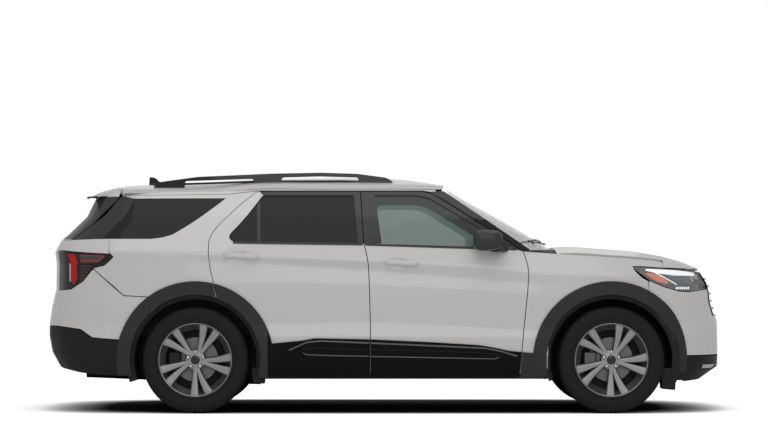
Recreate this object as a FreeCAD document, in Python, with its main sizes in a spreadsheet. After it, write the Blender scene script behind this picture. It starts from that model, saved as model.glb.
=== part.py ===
"""A full-size five-door suv, built as separate panels, glass, trim and running gear.

Millimetres. +X points to the front, +Y to the left-hand side and +Z up. The origin is on the
ground, midway along and across the car. The right-hand side is modelled and mirrored.
"""
import FreeCAD, Part
import math
import os

Vec = FreeCAD.Vector
doc = FreeCAD.newDocument("suv")

# Driving dimensions: every size that can be chosen by itself is one cell of this sheet.
SIZES = {
    "length": 5049.0,
    "width": 2004.0,
    "wheelbase": 3025.0,
    "front_overhang": 871.5,
    "track": 1700.0,
    "wheel_radius": 390.0,
    "tyre_width": 255.0,
    "tread_width": 200.0,
    "bead_radius": 257.0,
    "bead_width": 214.0,
    "fit_clearance": 0.3,
    "rim_radius": 272.0,
    "rim_width": 236.0,
    "rim_wall": 12.0,
    "spoke_depth": 42.0,
    "spoke_inset": 8.0,
    "hub_radius": 76.0,
    "hub_depth": 92.0,
    "lug_circle": 114.3,
    "lug_hole": 15.0,
    "centre_bore": 68.0,
    "disc_radius": 166.0,
    "disc_thickness": 28.0,
    "disc_inset": 88.0,
    "arch_radius": 474.0,
    "arch_band": 98.0,
    "cladding_proud": 12.0,
    "cladding_skin": 11.7,
    "panel_gap": 8.0,
    "door_thickness": 46.0,
    "wall_thickness": 55.0,
    "frame_thickness": 48.0,
    "seal_overlap": 34.0,
    "glass_thickness": 5.0,
    "glass_inset": 12.0,
    "hood_thickness": 26.0,
    "roof_thickness": 30.0,
    "floor_height": 250.0,
    "floor_thickness": 40.0,
    "sill_height": 296.0,
    "kingpin_offset": 60.0,
    "kingpin_radius": 13.0,
    "rail_width": 34.0,
    "rail_spread": 640.0,
    "steering_wheel_radius": 185.0,
    "steering_rim_radius": 14.0,
    "engine_length": 620.0,
    "engine_width": 700.0,
    "engine_height": 520.0,
    "pipe_radius": 32.0,
}
sheet = doc.addObject("Spreadsheet::Sheet", "Dimensions")
for row, (alias, value) in enumerate(SIZES.items(), start=1):
    sheet.set("A%d" % row, alias)
    sheet.set("B%d" % row, str(value))
    sheet.setAlias("B%d" % row, alias)
doc.recompute()


def size(alias):
    """The value of one driving dimension."""
    return float(sheet.get(alias))


half_length = size("length") / 2
half_width = size("width") / 2
nose = half_length
tail = -half_length
front_axle = nose - size("front_overhang")
rear_axle = front_axle - size("wheelbase")
axle_height = size("wheel_radius")
half_track = size("track") / 2
gap = size("panel_gap")
seat = size("fit_clearance")
wall = size("wall_thickness")
skin_width = half_width - size("cladding_proud")
RIGHT = -1
LEFT = 1
FAR = 1400.0
pieces = {}


def keep(label, shape):
    """Add a finished piece to the document under its own label."""
    feature = doc.addObject("Part::Feature", label)
    feature.Label = label
    feature.Shape = shape
    pieces[label] = feature
    return feature


def mirrored(shape):
    """The same shape on the other side of the car."""
    return shape.mirror(Vec(0, 0, 0), Vec(0, 1, 0))


def between(pairs, x):
    """Straight-line interpolation through (x, value) pairs in rising x."""
    if x <= pairs[0][0]:
        return pairs[0][1]
    for (x0, v0), (x1, v1) in zip(pairs, pairs[1:]):
        if x <= x1:
            return v0 + (v1 - v0) * (x - x0) / (x1 - x0)
    return pairs[-1][1]


def box(x0, x1, y0, y1, z0, z1):
    """An upright block between two corners."""
    return Part.makeBox(x1 - x0, y1 - y0, z1 - z0, Vec(x0, y0, z0))


def cylinder_y(radius, x, z, y0, y1):
    """A round bar across the car."""
    return Part.makeCylinder(radius, y1 - y0, Vec(x, y0, z), Vec(0, 1, 0))


# The body side is a stack of feature lines. Each one runs from the middle of the tail round
# the corner, along the side and round to the nose: its height along the side, half width,
# and how far its ends lie behind the nose and ahead of the tail.
SCOOP = 18.0
LINES = [
    {"height": [(0, 200.0)], "half": skin_width - 40, "rear": 275, "front": 200},
    {"height": [(0, 330.0)], "half": skin_width - 12, "rear": 85, "front": 12},
    {"height": [(0, 440.0)], "half": skin_width - 4, "rear": 25, "front": 9},
    {"height": [(0, 560.0)], "half": skin_width, "rear": 4, "front": 12},
    {"height": [(-2500, 640.0), (-718, 650.0), (-102, 670.0), (697, 623.0), (987, 600.0),
                (2500, 660.0)], "half": skin_width - 14, "rear": 4, "front": 14},
    {"height": [(-2500, 780.0), (0, 820.0), (2500, 800.0)], "half": skin_width - 8,
     "rear": 24, "front": 58},
    {"height": [(-2500, 900.0), (-755, 964.0), (-102, 949.0), (697, 909.0), (1059, 872.0),
                (2500, 880.0)], "half": skin_width - 8, "rear": 54, "front": 66},
    {"height": [(-2500, 1090.0), (-1446, 1120.0), (-901, 1102.0), (-102, 1044.0),
                (624, 985.0), (1060, 945.0), (2500, 950.0)], "half": skin_width - 10,
     "rear": 57, "front": 84},
    {"height": [(-2500, 1180.0), (-1439, 1165.0), (-901, 1138.0), (116, 1102.0),
                (843, 1052.0), (1205, 1015.0), (2500, 1000.0)], "half": skin_width - 8,
     "rear": 46, "front": 118},
    {"height": [(-2500, 1263.0), (-1048, 1240.0), (153, 1211.0), (988, 1170.0),
                (1243, 1160.0), (1569, 1142.0), (1934, 1118.0), (2200, 1080.0),
                (2400, 1050.0)], "half": skin_width - 48, "rear": 90, "front": 152},
    {"height": [(0, 1440.0)], "half": skin_width - 140, "rear": 302, "front": 900},
    {"height": [(0, 1632.0)], "half": skin_width - 284, "rear": 400, "front": 1300},
]
BELT = 9
SCOOP_LINE = 7
CORNER_START = 900.0
FRONT_POWER = 5.0
REAR_POWER = 6.0
CORNER_STEPS = 8


def scoop_depth(x):
    """The hollow under the shoulder, deepest along the doors and gone at both axles."""
    if x < -1450 or x > 1150:
        return 0.0
    return SCOOP * math.sin(math.pi * (x + 1450) / 2600) ** 0.6


def line_points(index, inset):
    """Points of one feature line on the right-hand side, moved inwards by inset."""
    line = LINES[index]
    half = line["half"] - inset
    rear_end = tail + line["rear"] + inset
    front_end = nose - line["front"] - inset
    points = []
    for step in range(CORNER_STEPS + 1):
        angle = math.pi / 2 * (1 - step / CORNER_STEPS)
        x = -CORNER_START + (rear_end + CORNER_START) * math.sin(angle) ** (2 / REAR_POWER)
        y = half * max(math.cos(angle), 0.0) ** (2 / REAR_POWER)
        points.append([x, y if step else 0.0])
    for x in (-450.0, 0.0, 450.0):
        points.append([x, half])
    for step in range(CORNER_STEPS + 1):
        angle = math.pi / 2 * step / CORNER_STEPS
        x = CORNER_START + (front_end - CORNER_START) * math.sin(angle) ** (2 / FRONT_POWER)
        y = half * max(math.cos(angle), 0.0) ** (2 / FRONT_POWER)
        points.append([x, y if step < CORNER_STEPS else 0.0])
    scoop = 1.0 if index == SCOOP_LINE else 0.0
    return [Vec(x, -(y - scoop * scoop_depth(x)), between(line["height"], x))
            for x, y in points]


def curve_through(points):
    """A smooth curve through points, at evenly spaced parameters."""
    spline = Part.BSplineCurve()
    spline.interpolate(Points=points, Parameters=[float(i) for i in range(len(points))])
    return spline.toShape()


def half_wall(inset_out, inset_in, first=0, last=len(LINES) - 1):
    """The right half of the body wall between two insets, from one line up to another."""
    sections = []
    for index in range(first, last + 1):
        outer = line_points(index, inset_out)
        inner = line_points(index, inset_in)
        sections.append(Part.Wire([
            curve_through(outer), Part.makeLine(outer[-1], inner[-1]),
            curve_through(inner[::-1]), Part.makeLine(inner[0], outer[0])]))
    return Part.makeLoft(sections, True, True)


def half_core(inset):
    """The right half of everything inside the body wall at one inset."""
    sections = []
    for index in range(len(LINES)):
        points = line_points(index, inset)
        sections.append(Part.Wire([curve_through(points), Part.makeLine(points[-1], points[0])]))
    return Part.makeLoft(sections, True, True)


def rounded_wire(points, inset=0.0, radius=12.0):
    """A closed outline in the XZ plane, moved inwards by inset, with rounded corners."""
    count = len(points)
    area = sum(points[i][0] * points[(i + 1) % count][1]
               - points[(i + 1) % count][0] * points[i][1] for i in range(count))
    turn = 1.0 if area > 0 else -1.0
    normals = []
    for i in range(count):
        dx = points[(i + 1) % count][0] - points[i][0]
        dz = points[(i + 1) % count][1] - points[i][1]
        length = math.hypot(dx, dz)
        normals.append((-dz / length * turn, dx / length * turn))
    corners = []
    for i in range(count):
        n0, n1 = normals[i - 1], normals[i]
        share = inset / (1 + n0[0] * n1[0] + n0[1] * n1[1])
        corners.append(Vec(points[i][0] + share * (n0[0] + n1[0]), 0,
                           points[i][1] + share * (n0[1] + n1[1])))
    edges = []
    starts, ends = [], []
    for i in range(count):
        here, before, after = corners[i], corners[i - 1], corners[(i + 1) % count]
        wanted = points[i][2] if len(points[i]) > 2 else radius
        a = (before - here).normalize()
        b = (after - here).normalize()
        angle = a.getAngle(b)
        room = 0.45 * min((before - here).Length, (after - here).Length)
        reach = min(wanted / math.tan(angle / 2), room) if angle < math.pi - 0.01 else 0.0
        if reach < 0.5:
            starts.append(here)
            ends.append(here)
            continue
        true_radius = reach * math.tan(angle / 2)
        middle = (a + b).normalize()
        centre = here + middle * (true_radius / math.sin(angle / 2))
        starts.append(here + a * reach)
        ends.append(here + b * reach)
        edges.append((i, Part.Arc(starts[i], centre - middle * true_radius, ends[i]).toShape()))
    arcs = dict(edges)
    wire = []
    for i in range(count):
        if i in arcs:
            wire.append(arcs[i])
        if (starts[(i + 1) % count] - ends[i]).Length > 0.01:
            wire.append(Part.makeLine(ends[i], starts[(i + 1) % count]))
    return Part.Wire(wire)


def side_prism(points, inset=0.0, radius=12.0, low=-FAR, high=0.0):
    """A block through the car with a rounded outline in side view."""
    face = Part.Face(rounded_wire(points, inset, radius))
    face.translate(Vec(0, low, 0))
    return face.extrude(Vec(0, high - low, 0))


def wheel_hole(axle, radius, low=-FAR, high=FAR):
    """The round space about one axle."""
    return cylinder_y(radius, axle, axle_height, low, high)


def largest(shape):
    """The biggest solid of a cut, without the crumbs beside it."""
    return max(shape.Solids, key=lambda solid: solid.Volume)


def clean(shape):
    """One solid with its split faces merged."""
    return largest(shape.removeSplitter())


# Cut lines that neighbouring panels share, in side view.
arch = size("arch_radius")
sill = size("sill_height")
DOOR_TOP = 1624.0
front_cut = [(front_axle - 670, sill), (front_axle - 641, 572), (front_axle - 619, 790),
             (front_axle - 605, 971, 200), (front_axle - 602, 1029, 120),
             (front_axle - 622, 1124, 120), (front_axle - 640, 1178)]
split_cut = [(-104, sill), (-98, 608, 900), (-105, 898, 900), (-113, 1080, 300),
             (-146, 1226, 200), (-173, DOOR_TOP)]
rear_cut = [(rear_axle + 170, sill), (rear_axle + 158, 826), (rear_axle + 143, 898, 200),
            (rear_axle + 117, 1015, 300), (rear_axle + 97, 1150, 200),
            (rear_axle + 97, 1233, 120), (rear_axle + 131, 1328, 120),
            (rear_axle + 209, 1417, 300), (rear_axle + 315, 1521, 300),
            (rear_axle + 415, 1603, 120), (rear_axle + 480, DOOR_TOP)]
pillar_cut = [(285, DOOR_TOP, 60), (430, 1560, 200), (front_axle - 640, 1178)]
front_door_outline = front_cut[:-1] + pillar_cut[::-1] + split_cut[::-1]
rear_door_outline = split_cut + rear_cut[::-1]
front_window_outline = [(-70, 1592, 25), (255, 1592, 60), (400, 1532, 200),
                        (front_axle - 720, 1205, 10), (480, 1212, 900), (-35, 1232, 12)]
rear_window_outline = [(rear_axle + 270, 1263, 40), (rear_axle + 500, 1258, 900),
                       (-190, 1237, 12), (-222, 1592, 20), (rear_axle + 500, 1592, 40),
                       (rear_axle + 360, 1490, 300)]
quarter_window_outline = [(rear_axle + 60, 1310, 40), (rear_axle - 250, 1285, 60),
                          (rear_axle - 660, 1285, 30), (rear_axle - 480, 1540, 30),
                          (rear_axle + 250, 1560, 20)]
headlamp_outline = [(nose - 714, 1064, 10), (nose - 663, 1069), (nose - 480, 1056, 400),
                    (nose - 100, 1036), (nose - 100, 905), (nose - 270, 886, 30),
                    (nose - 370, 891, 60), (nose - 481, 920, 200), (nose - 591, 967, 100),
                    (nose - 663, 1018, 60)]
tail_lamp_outline = [(tail - 40, 1190), (tail + 156, 1183), (tail + 531, 1160, 10),
                     (tail + 558, 1140, 10), (tail + 488, 1076, 20), (tail + 407, 1062, 30),
                     (tail + 319, 964, 60), (tail + 206, 905, 20), (tail - 40, 890)]
quarter_bumper_cut = [(tail + 406, 1056), (tail + 607, 880, 20), (tail + 637, 858, 20),
                      (rear_axle - 340, 848)]
TAILGATE_HALF = 700.0
TAILGATE_LOW = 805.0
BUMPER_LOW_FRONT = 420.0
BUMPER_TOP_REAR = 632.0
GRILLE_HALF = 600.0
GRILLE_LOW = 690.0
LAMP_INNER = 560.0

skin = half_wall(0.0, wall)
door_skin = half_wall(0.0, size("door_thickness"))
frame_wall = half_wall(wall + seat, wall + seat + size("frame_thickness"))
glass_in = size("glass_inset")
glass_wall = half_wall(glass_in, glass_in + size("glass_thickness"), BELT - 1)
proud = size("cladding_proud")
cladding_wall = half_wall(-proud, -proud + size("cladding_skin"), 0, 8)


# The hood, roof and windscreen are skins with one profile along the car and a crown across.
def crowned_skin(profile, thickness, half, drop, power, shift=None, sunk=0.0):
    """A skin from profile points, falling by drop at the edge as a power of the offset.

    The drop is one value, or one for each profile point. The whole skin can be sunk below
    the profile.
    """
    drops = drop if isinstance(drop, list) else [drop] * len(profile)
    sections = []
    for step in range(-4, 5):
        share = step / 4.0
        y = half * math.copysign(abs(share) ** 0.8, share) if step else 0.0
        outer = []
        inner = []
        for i, (x, z) in enumerate(profile):
            fall = drops[i] * abs(y / half) ** power
            back = (shift[i] if shift else 0.0) * (y / half) ** 2
            x0, z0 = profile[max(i - 1, 0)]
            x1, z1 = profile[min(i + 1, len(profile) - 1)]
            length = math.hypot(x1 - x0, z1 - z0)
            nx, nz = (z1 - z0) / length, -(x1 - x0) / length
            if nz > 0:
                nx, nz = -nx, -nz
            for face, depth in ((outer, sunk), (inner, sunk + thickness)):
                face.append(Vec(x - back + nx * depth, y, z - fall + nz * depth))
        sections.append(Part.Wire([
            curve_through(outer), Part.makeLine(outer[-1], inner[-1]),
            curve_through(inner[::-1]), Part.makeLine(inner[0], outer[0])]))
    return Part.makeLoft(sections, True, False)


hood_profile = [(nose - 1290, 1212), (nose - 1110, 1220), (nose - 960, 1210),
                (nose - 810, 1199), (nose - 657, 1186), (nose - 505, 1163),
                (nose - 391, 1138), (nose - 277, 1104), (nose - 190, 1066),
                (nose - 150, 1030)]
HOOD_DROP, HOOD_POWER = 70.0, 2.2
HOOD_HALF = 1000.0
hood_wide = crowned_skin(hood_profile, size("hood_thickness"), HOOD_HALF, HOOD_DROP,
                         HOOD_POWER)
above_hood = crowned_skin(hood_profile, -400.0, HOOD_HALF, HOOD_DROP, HOOD_POWER)
hood_side = line_points(BELT, wall + gap + 5)
hood_edge = [p for p in hood_side if p.x > nose - 1262]
hood_back = nose - 1262
first_y = between(sorted((p.x, -p.y) for p in hood_side), hood_back)
hood_wrap = nose - 492
wrap_y = between(sorted((p.x, -p.y) for p in hood_side), hood_wrap)
plan = [Vec(hood_back, -first_y, 0)] + [Vec(p.x, p.y, 0) for p in hood_edge[:-1]
                                        if p.x < hood_wrap - 60]
plan += [Vec(hood_wrap, -wrap_y, 0)]
plan += [Vec(p.x, -p.y, 0) for p in plan[::-1]]
hood_plan = Part.Face(Part.makePolygon(plan + [plan[0]])).extrude(Vec(0, 0, 2000))
hood_corner = side_prism([(hood_wrap, 1300), (hood_wrap, 1056 + gap), (nose - 100, 1036 + gap),
                          (nose - 60, 1036 + gap), (nose - 60, 1300)], 0.0, 4, -FAR, FAR)
corner_right = skin.common(hood_corner).cut(above_hood)
body_core = half_core(wall / 2)
hood_front = hood_wide.common(hood_corner)
hood_front = hood_front.common(body_core).fuse(hood_front.common(mirrored(body_core)))
hood_shape = clean(hood_wide.common(hood_plan).fuse(
    [hood_front, corner_right, mirrored(corner_right)]))
keep("hood", hood_shape)


# Doors: a panel with its window frame, the glass, and the cladding below.
def door_panel(outline, window, arch_axle=None):
    """One right-hand door, cut out of the body wall with its window."""
    panel = door_skin.common(side_prism(outline, gap / 2))
    panel = panel.cut(side_prism(window, 0.0))
    if arch_axle is not None:
        panel = panel.cut(wheel_hole(arch_axle, arch + 6, -FAR, 0))
    return clean(panel)


front_door = door_panel(front_door_outline, front_window_outline)
rear_door = door_panel(rear_door_outline, rear_window_outline, rear_axle)
front_glass = clean(glass_wall.common(side_prism(front_window_outline, seat)))
rear_glass = clean(glass_wall.common(side_prism(rear_window_outline, seat)))

CLADDING_TOP = [(rear_axle + 440, 500), (rear_axle + 763, 529, 80), (rear_axle + 870, 548, 120),
                (-102, 540, 900), (334, 520, 900), (696, 498, 300), (914, 456, 100),
                (front_axle - 560, 440)]
cladding_outline = [(rear_axle + 300, 260)] + CLADDING_TOP + [(front_axle - 560, 260)]
arch_ring = wheel_hole(rear_axle, arch + size("arch_band"), -FAR, 0).fuse(
    wheel_hole(front_axle, arch + size("arch_band"), -FAR, 0))
arch_ring = arch_ring.common(box(tail, nose, -FAR, 0, sill - 20, 1200))
cladding_room = side_prism(cladding_outline, 0.0, 20).fuse(arch_ring)
for axle in (front_axle, rear_axle):
    cladding_room = cladding_room.cut(wheel_hole(axle, arch, -FAR - 10, 10))
side_cladding = cladding_wall.common(cladding_room)


def door_strip(first, last):
    """The block between two door cuts, from the ground to above the arches."""
    return side_prism([(p[0], p[1]) for p in first] + [(p[0], p[1]) for p in last[::-1]],
                      gap / 2, 4)


low_front = [(front_cut[0][0] - 4, 200), (front_axle - 641, 572), (front_axle - 619, 790)]
low_split = [(-104, 200), (-98, 608), (-105, 898)]
low_rear = [(rear_axle + 170, 200), (rear_axle + 158, 826), (rear_axle + 143, 898),
            (rear_axle + 117, 1015)]
front_door_cladding = clean(side_cladding.common(door_strip(low_split, low_front)))
rear_door_cladding = clean(side_cladding.common(
    door_strip(low_rear, low_split + [(-113, 1015)])))
front_arch_cladding = clean(side_cladding.common(side_prism(
    [(p[0], p[1]) for p in low_front] + [(front_axle - 619, 1100), (nose, 1100), (nose, 200)],
    gap / 2, 4)))
rear_arch_cladding = clean(side_cladding.common(side_prism(
    [(p[0], p[1]) for p in low_rear] + [(rear_axle + 117, 1100), (tail, 1100), (tail, 200)],
    gap / 2, 4)))

# Fixed side panels.
fender_outline = front_cut + [(front_axle - 560, 1176), (nose - 1284, 1196),
                              (nose - 1280, 1300), (nose - 496, 1300), (nose - 496, 1060, 4),
                              (nose - 714, 1064 + gap, 4), (nose - 680, 1018, 60),
                              (nose - 601, 961, 60), (nose - 601, sill)]
fender = skin.common(side_prism(fender_outline, gap / 2)).cut(above_hood)
fender = clean(fender.cut(wheel_hole(front_axle, arch + 6, -FAR, 0)))
tailgate_cut = [(tail + 660, 1650), (tail + 572, 1562, 60), (tail + 384, 1373, 60),
                (tail + 215, 1263, 10)]
quarter_outline = ([rear_cut[0]] + [(p[0], p[1], p[2] if len(p) > 2 else 12)
                                    for p in rear_cut[1:]]
                   + [(-930, 1622, 60), (-1140, 1588, 60), (tail + 600, 1586)]
                   + tailgate_cut[1:]
                   + [(tail - 40, 1250), (tail - 40, 1190 + gap)]
                   + [(tail + 156, 1183), (tail + 531, 1160, 10), (tail + 558, 1140, 10),
                      (tail + 488, 1076, 20), (tail + 407, 1062, 8)]
                   + quarter_bumper_cut[1:] + [(rear_axle - 340, sill)])
quarter = skin.common(side_prism(quarter_outline, gap / 2))
quarter = quarter.cut(side_prism(quarter_window_outline))
quarter = quarter.cut(wheel_hole(rear_axle, arch + 6, -FAR, 0))
quarter = clean(quarter.cut(box(tail - 100, tail + 400, -TAILGATE_HALF - gap, 0, 700, 1262)))
quarter_glass = clean(glass_wall.common(side_prism(quarter_window_outline, seat)))

# Lamps and bumpers.
headlamp = skin.common(side_prism(headlamp_outline, gap / 4)).cut(
    box(nose - 400, nose, -LAMP_INNER, 0, 0, 2000)).cut(above_hood)
headlamp = clean(headlamp)
tail_lamp = clean(skin.common(side_prism(tail_lamp_outline, gap / 4)).cut(
    box(tail - 100, tail + 700, -TAILGATE_HALF - gap, 0, 0, 2000)))
front_bumper_outline = [(nose - 601, 961, 60), (nose - 591, 967, 100), (nose - 481, 920, 200),
                        (nose - 370, 891, 60), (nose - 270, 886, 30), (nose - 100, 905),
                        (nose + 40, 905), (nose + 40, BUMPER_LOW_FRONT),
                        (front_axle + 400, BUMPER_LOW_FRONT), (nose - 601, 700)]
bumper_half = skin.common(side_prism(front_bumper_outline, gap / 2)).cut(
    wheel_hole(front_axle, arch + 6, -FAR, 0))
grille_room = box(nose - 300, nose + 40, -GRILLE_HALF, GRILLE_HALF, GRILLE_LOW, 1200)
front_bumper = bumper_half.fuse(mirrored(bumper_half)).cut(grille_room)
keep("front_bumper", clean(front_bumper))
front_lower_outline = [(front_axle + 380, BUMPER_LOW_FRONT), (nose + 40, BUMPER_LOW_FRONT),
                       (nose + 40, 262), (nose - 160, 235), (nose - 400, 222),
                       (front_axle + 380, 260)]
lower_half = skin.common(side_prism(front_lower_outline, gap / 2)).cut(
    wheel_hole(front_axle, arch + size("arch_band") + 2, -FAR, 0))
keep("front_bumper_lower", clean(lower_half.fuse(mirrored(lower_half))))
grille_half = skin.common(box(nose - 300, nose + 40, -GRILLE_HALF + gap / 2, 0,
                              GRILLE_LOW + gap / 2, 1030)).cut(above_hood)
grille_half = grille_half.cut(box(nose - 300, nose + 40, -FAR, -LAMP_INNER + gap, 880, 1200))
keep("grille", clean(grille_half.fuse(mirrored(grille_half))))

rear_bumper_outline = ([(tail - 40, BUMPER_TOP_REAR), (tail + 80, 634, 10), (tail + 298, 611, 60),
                        (tail + 403, 550, 40), (rear_axle - 480, 530)]
                       + [(rear_axle - 340, 700), (rear_axle - 340, 848), (tail + 637, 858, 20),
                          (tail + 607, 880, 20), (tail + 406, 1056), (tail + 319, 964, 60),
                          (tail + 206, 905, 20), (tail - 40, 890)])
rear_half = skin.common(side_prism(rear_bumper_outline, gap / 2)).cut(
    wheel_hole(rear_axle, arch + 6, -FAR, 0))
rear_bumper = rear_half.fuse(mirrored(rear_half)).cut(
    box(tail - 100, tail + 400, -TAILGATE_HALF - gap, TAILGATE_HALF + gap, TAILGATE_LOW - gap, 1200))
keep("rear_bumper", clean(rear_bumper))
rear_lower_outline = [(tail - 40, BUMPER_TOP_REAR), (tail + 80, 634, 10), (tail + 298, 611, 60),
                      (tail + 403, 550, 40), (rear_axle - 480, 530), (rear_axle - 430, 262),
                      (tail + 300, 290), (tail - 40, 345)]
rear_lower_half = skin.common(side_prism(rear_lower_outline, gap / 2)).cut(
    wheel_hole(rear_axle, arch + size("arch_band") + 2, -FAR, 0))
keep("rear_bumper_lower", clean(rear_lower_half.fuse(mirrored(rear_lower_half))))

# Tailgate: lower wall, window frame and spoiler in one piece.
gate_low = door_skin.common(box(tail - 100, tail + 400, -TAILGATE_HALF, 0, TAILGATE_LOW, 1262))
gate_top_outline = [(tail - 40, 1240)] + tailgate_cut[::-1][0:3] + [(tail + 592, 1632),
                                                                   (tail - 40, 1632)]
gate_top = door_skin.common(side_prism(gate_top_outline, gap / 2))
rear_window = Part.makePolygon([Vec(0, -560, 1300), Vec(0, 560, 1300), Vec(0, 500, 1555),
                                Vec(0, -500, 1555), Vec(0, -560, 1300)])
rear_window_block = Part.Face(rear_window).extrude(Vec(-FAR * 2, 0, 0))
rear_window_block.translate(Vec(-1800, 0, 0))
spoiler_profile = [(tail + 604 - gap, 1672), (tail + 450, 1655), (tail + 368, 1645),
                   (tail + 316, 1630)]
spoiler = crowned_skin(spoiler_profile, 34.0, 640.0, 32.0, 3.0)
gate = gate_low.fuse(gate_top)
gate = gate.fuse([mirrored(gate), spoiler]).cut(rear_window_block)
keep("tailgate", clean(gate))
glass_half = glass_wall.common(box(tail - 100, -1800, -FAR, 0, 1263, 1600))
gate_glass = glass_half.fuse(mirrored(glass_half)).common(rear_window_block)
keep("tailgate_glass", clean(gate_glass))

# Roof and windscreen.
roof_profile = [(440, 1668), (360, 1690), (230, 1712), (60, 1728), (-250, 1735), (-600, 1733),
                (-950, 1722), (-1300, 1706), (-1650, 1688), (tail + 604, 1673)]
ROOF_EDGE_FRONT, ROOF_EDGE_REAR = 1641.0, 1606.0
roof_edge = [(tail + 604, ROOF_EDGE_REAR), (-1180, ROOF_EDGE_REAR), (-1000, ROOF_EDGE_FRONT)]
roof_drop = [z - size("roof_thickness") - between(roof_edge, x) for x, z in roof_profile]
ROOF_HALF, ROOF_POWER = 712.0, 4.0
roof = crowned_skin(roof_profile, size("roof_thickness"), ROOF_HALF, roof_drop, ROOF_POWER)
keep("roof_panel", clean(roof))
screen_profile = [(1262, 1196), (1215, 1226), (1110, 1290), (960, 1378), (800, 1467),
                  (640, 1553), (520, 1622), (462, 1650)]
screen_shift = [250, 235, 205, 165, 130, 95, 65, 50]
COWL_DROP = 60.0
COWL_THICKNESS = 15.0
cowl_front = hood_back - gap
cowl_profile = [(860, 1192), (1000, 1196), (1130, 1198), (cowl_front, 1199)]
SCREEN_HALF, SCREEN_DROP, SCREEN_POWER = 860.0, 8.0, 3.0
screen = crowned_skin(screen_profile, size("glass_thickness"), SCREEN_HALF, SCREEN_DROP,
                      SCREEN_POWER, screen_shift)
screen_room = crowned_skin(screen_profile, -400.0, SCREEN_HALF, SCREEN_DROP, SCREEN_POWER,
                           screen_shift, size("glass_thickness") + seat)
below_cowl = crowned_skin(cowl_profile, 300.0, HOOD_HALF, COWL_DROP, HOOD_POWER, None, -seat)
above_cowl = crowned_skin(cowl_profile, -400.0, HOOD_HALF, COWL_DROP, HOOD_POWER, None,
                          COWL_THICKNESS + seat)
header = roof.copy()
header.translate(Vec(seat, 0, -seat))
outer_core = half_core(wall + seat)
screen_half = screen.common(outer_core)
screen = screen_half.fuse(mirrored(screen_half)).cut([roof, header, below_cowl])
keep("windscreen", clean(screen))
cowl_half = crowned_skin(cowl_profile, COWL_THICKNESS, HOOD_HALF, COWL_DROP,
                         HOOD_POWER).common(outer_core)
keep("cowl", clean(cowl_half.fuse(mirrored(cowl_half)).cut(hood_shape)))
a_pillar_outline = [(front_axle - 640, 1178), (front_axle - 560, 1176), (440, 1628),
                    (290, 1628), (430, 1562, 200)]
a_pillar = clean(skin.common(side_prism(a_pillar_outline, gap / 2)))

pairs = {
    "fenders": fender, "quarter_panels": quarter, "quarter_glass": quarter_glass,
    "headlamps": headlamp, "tail_lamps": tail_lamp, "a_pillars": a_pillar,
}
for label, shape in pairs.items():
    keep(label, Part.Compound([shape, mirrored(shape)]))
keep("arch_cladding", Part.Compound([front_arch_cladding, mirrored(front_arch_cladding),
                                     rear_arch_cladding, mirrored(rear_arch_cladding)]))
for label, shape in {"front_door": front_door, "rear_door": rear_door,
                     "front_glass": front_glass, "rear_glass": rear_glass,
                     "front_door_cladding": front_door_cladding,
                     "rear_door_cladding": rear_door_cladding}.items():
    keep(label + "_right", shape)
    keep(label + "_left", mirrored(shape))


# Structure: side frames with the door and window openings, floor with the bulkhead and
# wheel houses, front and rear rails, and the bows under the roof.
bulkhead = front_axle - 480
step_x = rear_axle + 430
floor = size("floor_height")
deck = floor + size("floor_thickness")
cargo_floor = 560.0
cargo_deck = cargo_floor + size("floor_thickness")
overlap = size("seal_overlap")
structure_outline = [(tail - 40, 420), (tail - 40, 1250), (tail + 215, 1263),
                     (tail + 384, 1373), (tail + 566, 1550), (tail + 610, 1590, 40),
                     (-1140, 1590, 60), (-1000, 1618, 60), (260, 1618, 60),
                     (bulkhead - 190, 1185, 60), (bulkhead - 190, 1130),
                     (bulkhead + 40, 1110), (bulkhead + 40, floor), (step_x, floor),
                     (step_x, 420)]
frame_half = frame_wall.common(side_prism(structure_outline, 0, 20))
openings = [side_prism(front_door_outline, overlap, 40),
            side_prism(rear_door_outline, overlap, 40),
            side_prism(quarter_window_outline, -4),
            wheel_hole(rear_axle, arch - 30, -FAR, 10),
            box(tail - 100, tail + 900, -TAILGATE_HALF + overlap, 10, TAILGATE_LOW + overlap,
                1700)]
for opening in openings + [screen_room, above_cowl]:
    frame_half = frame_half.cut(opening)
frame_half = clean(frame_half)
keep("body_frame", clean(frame_half.fuse(mirrored(frame_half))))

cabin_core = half_core(wall + size("frame_thickness") + 2 * seat)
SILL_INNER, SILL_OUTER = 740.0, 838.0
house_radius = arch - 20
floor_half = [box(step_x, bulkhead, -SILL_OUTER, 0, floor, deck),
              box(step_x, bulkhead, -SILL_OUTER, -SILL_INNER, floor, deck + 60),
              box(step_x - 40, step_x, -SILL_OUTER, 0, floor, cargo_deck),
              box(tail, step_x, -900, 0, cargo_floor, cargo_deck),
              box(bulkhead, bulkhead + 40, -820, 0, floor, 1250)]
floor_half = floor_half[0].fuse(floor_half[1:]).cut(
    wheel_hole(rear_axle, house_radius - 16, -FAR, -690))
floor_half = floor_half.cut(above_cowl)
house = wheel_hole(rear_axle, house_radius, -FAR, -676).cut(
    wheel_hole(rear_axle, house_radius - 16, -FAR, -690))
house = house.common(box(tail, step_x, -FAR, 0, cargo_floor, 1400))
floor_half = floor_half.fuse(house).common(cabin_core)
keep("floor_pan", clean(floor_half.fuse(mirrored(floor_half))))

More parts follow.
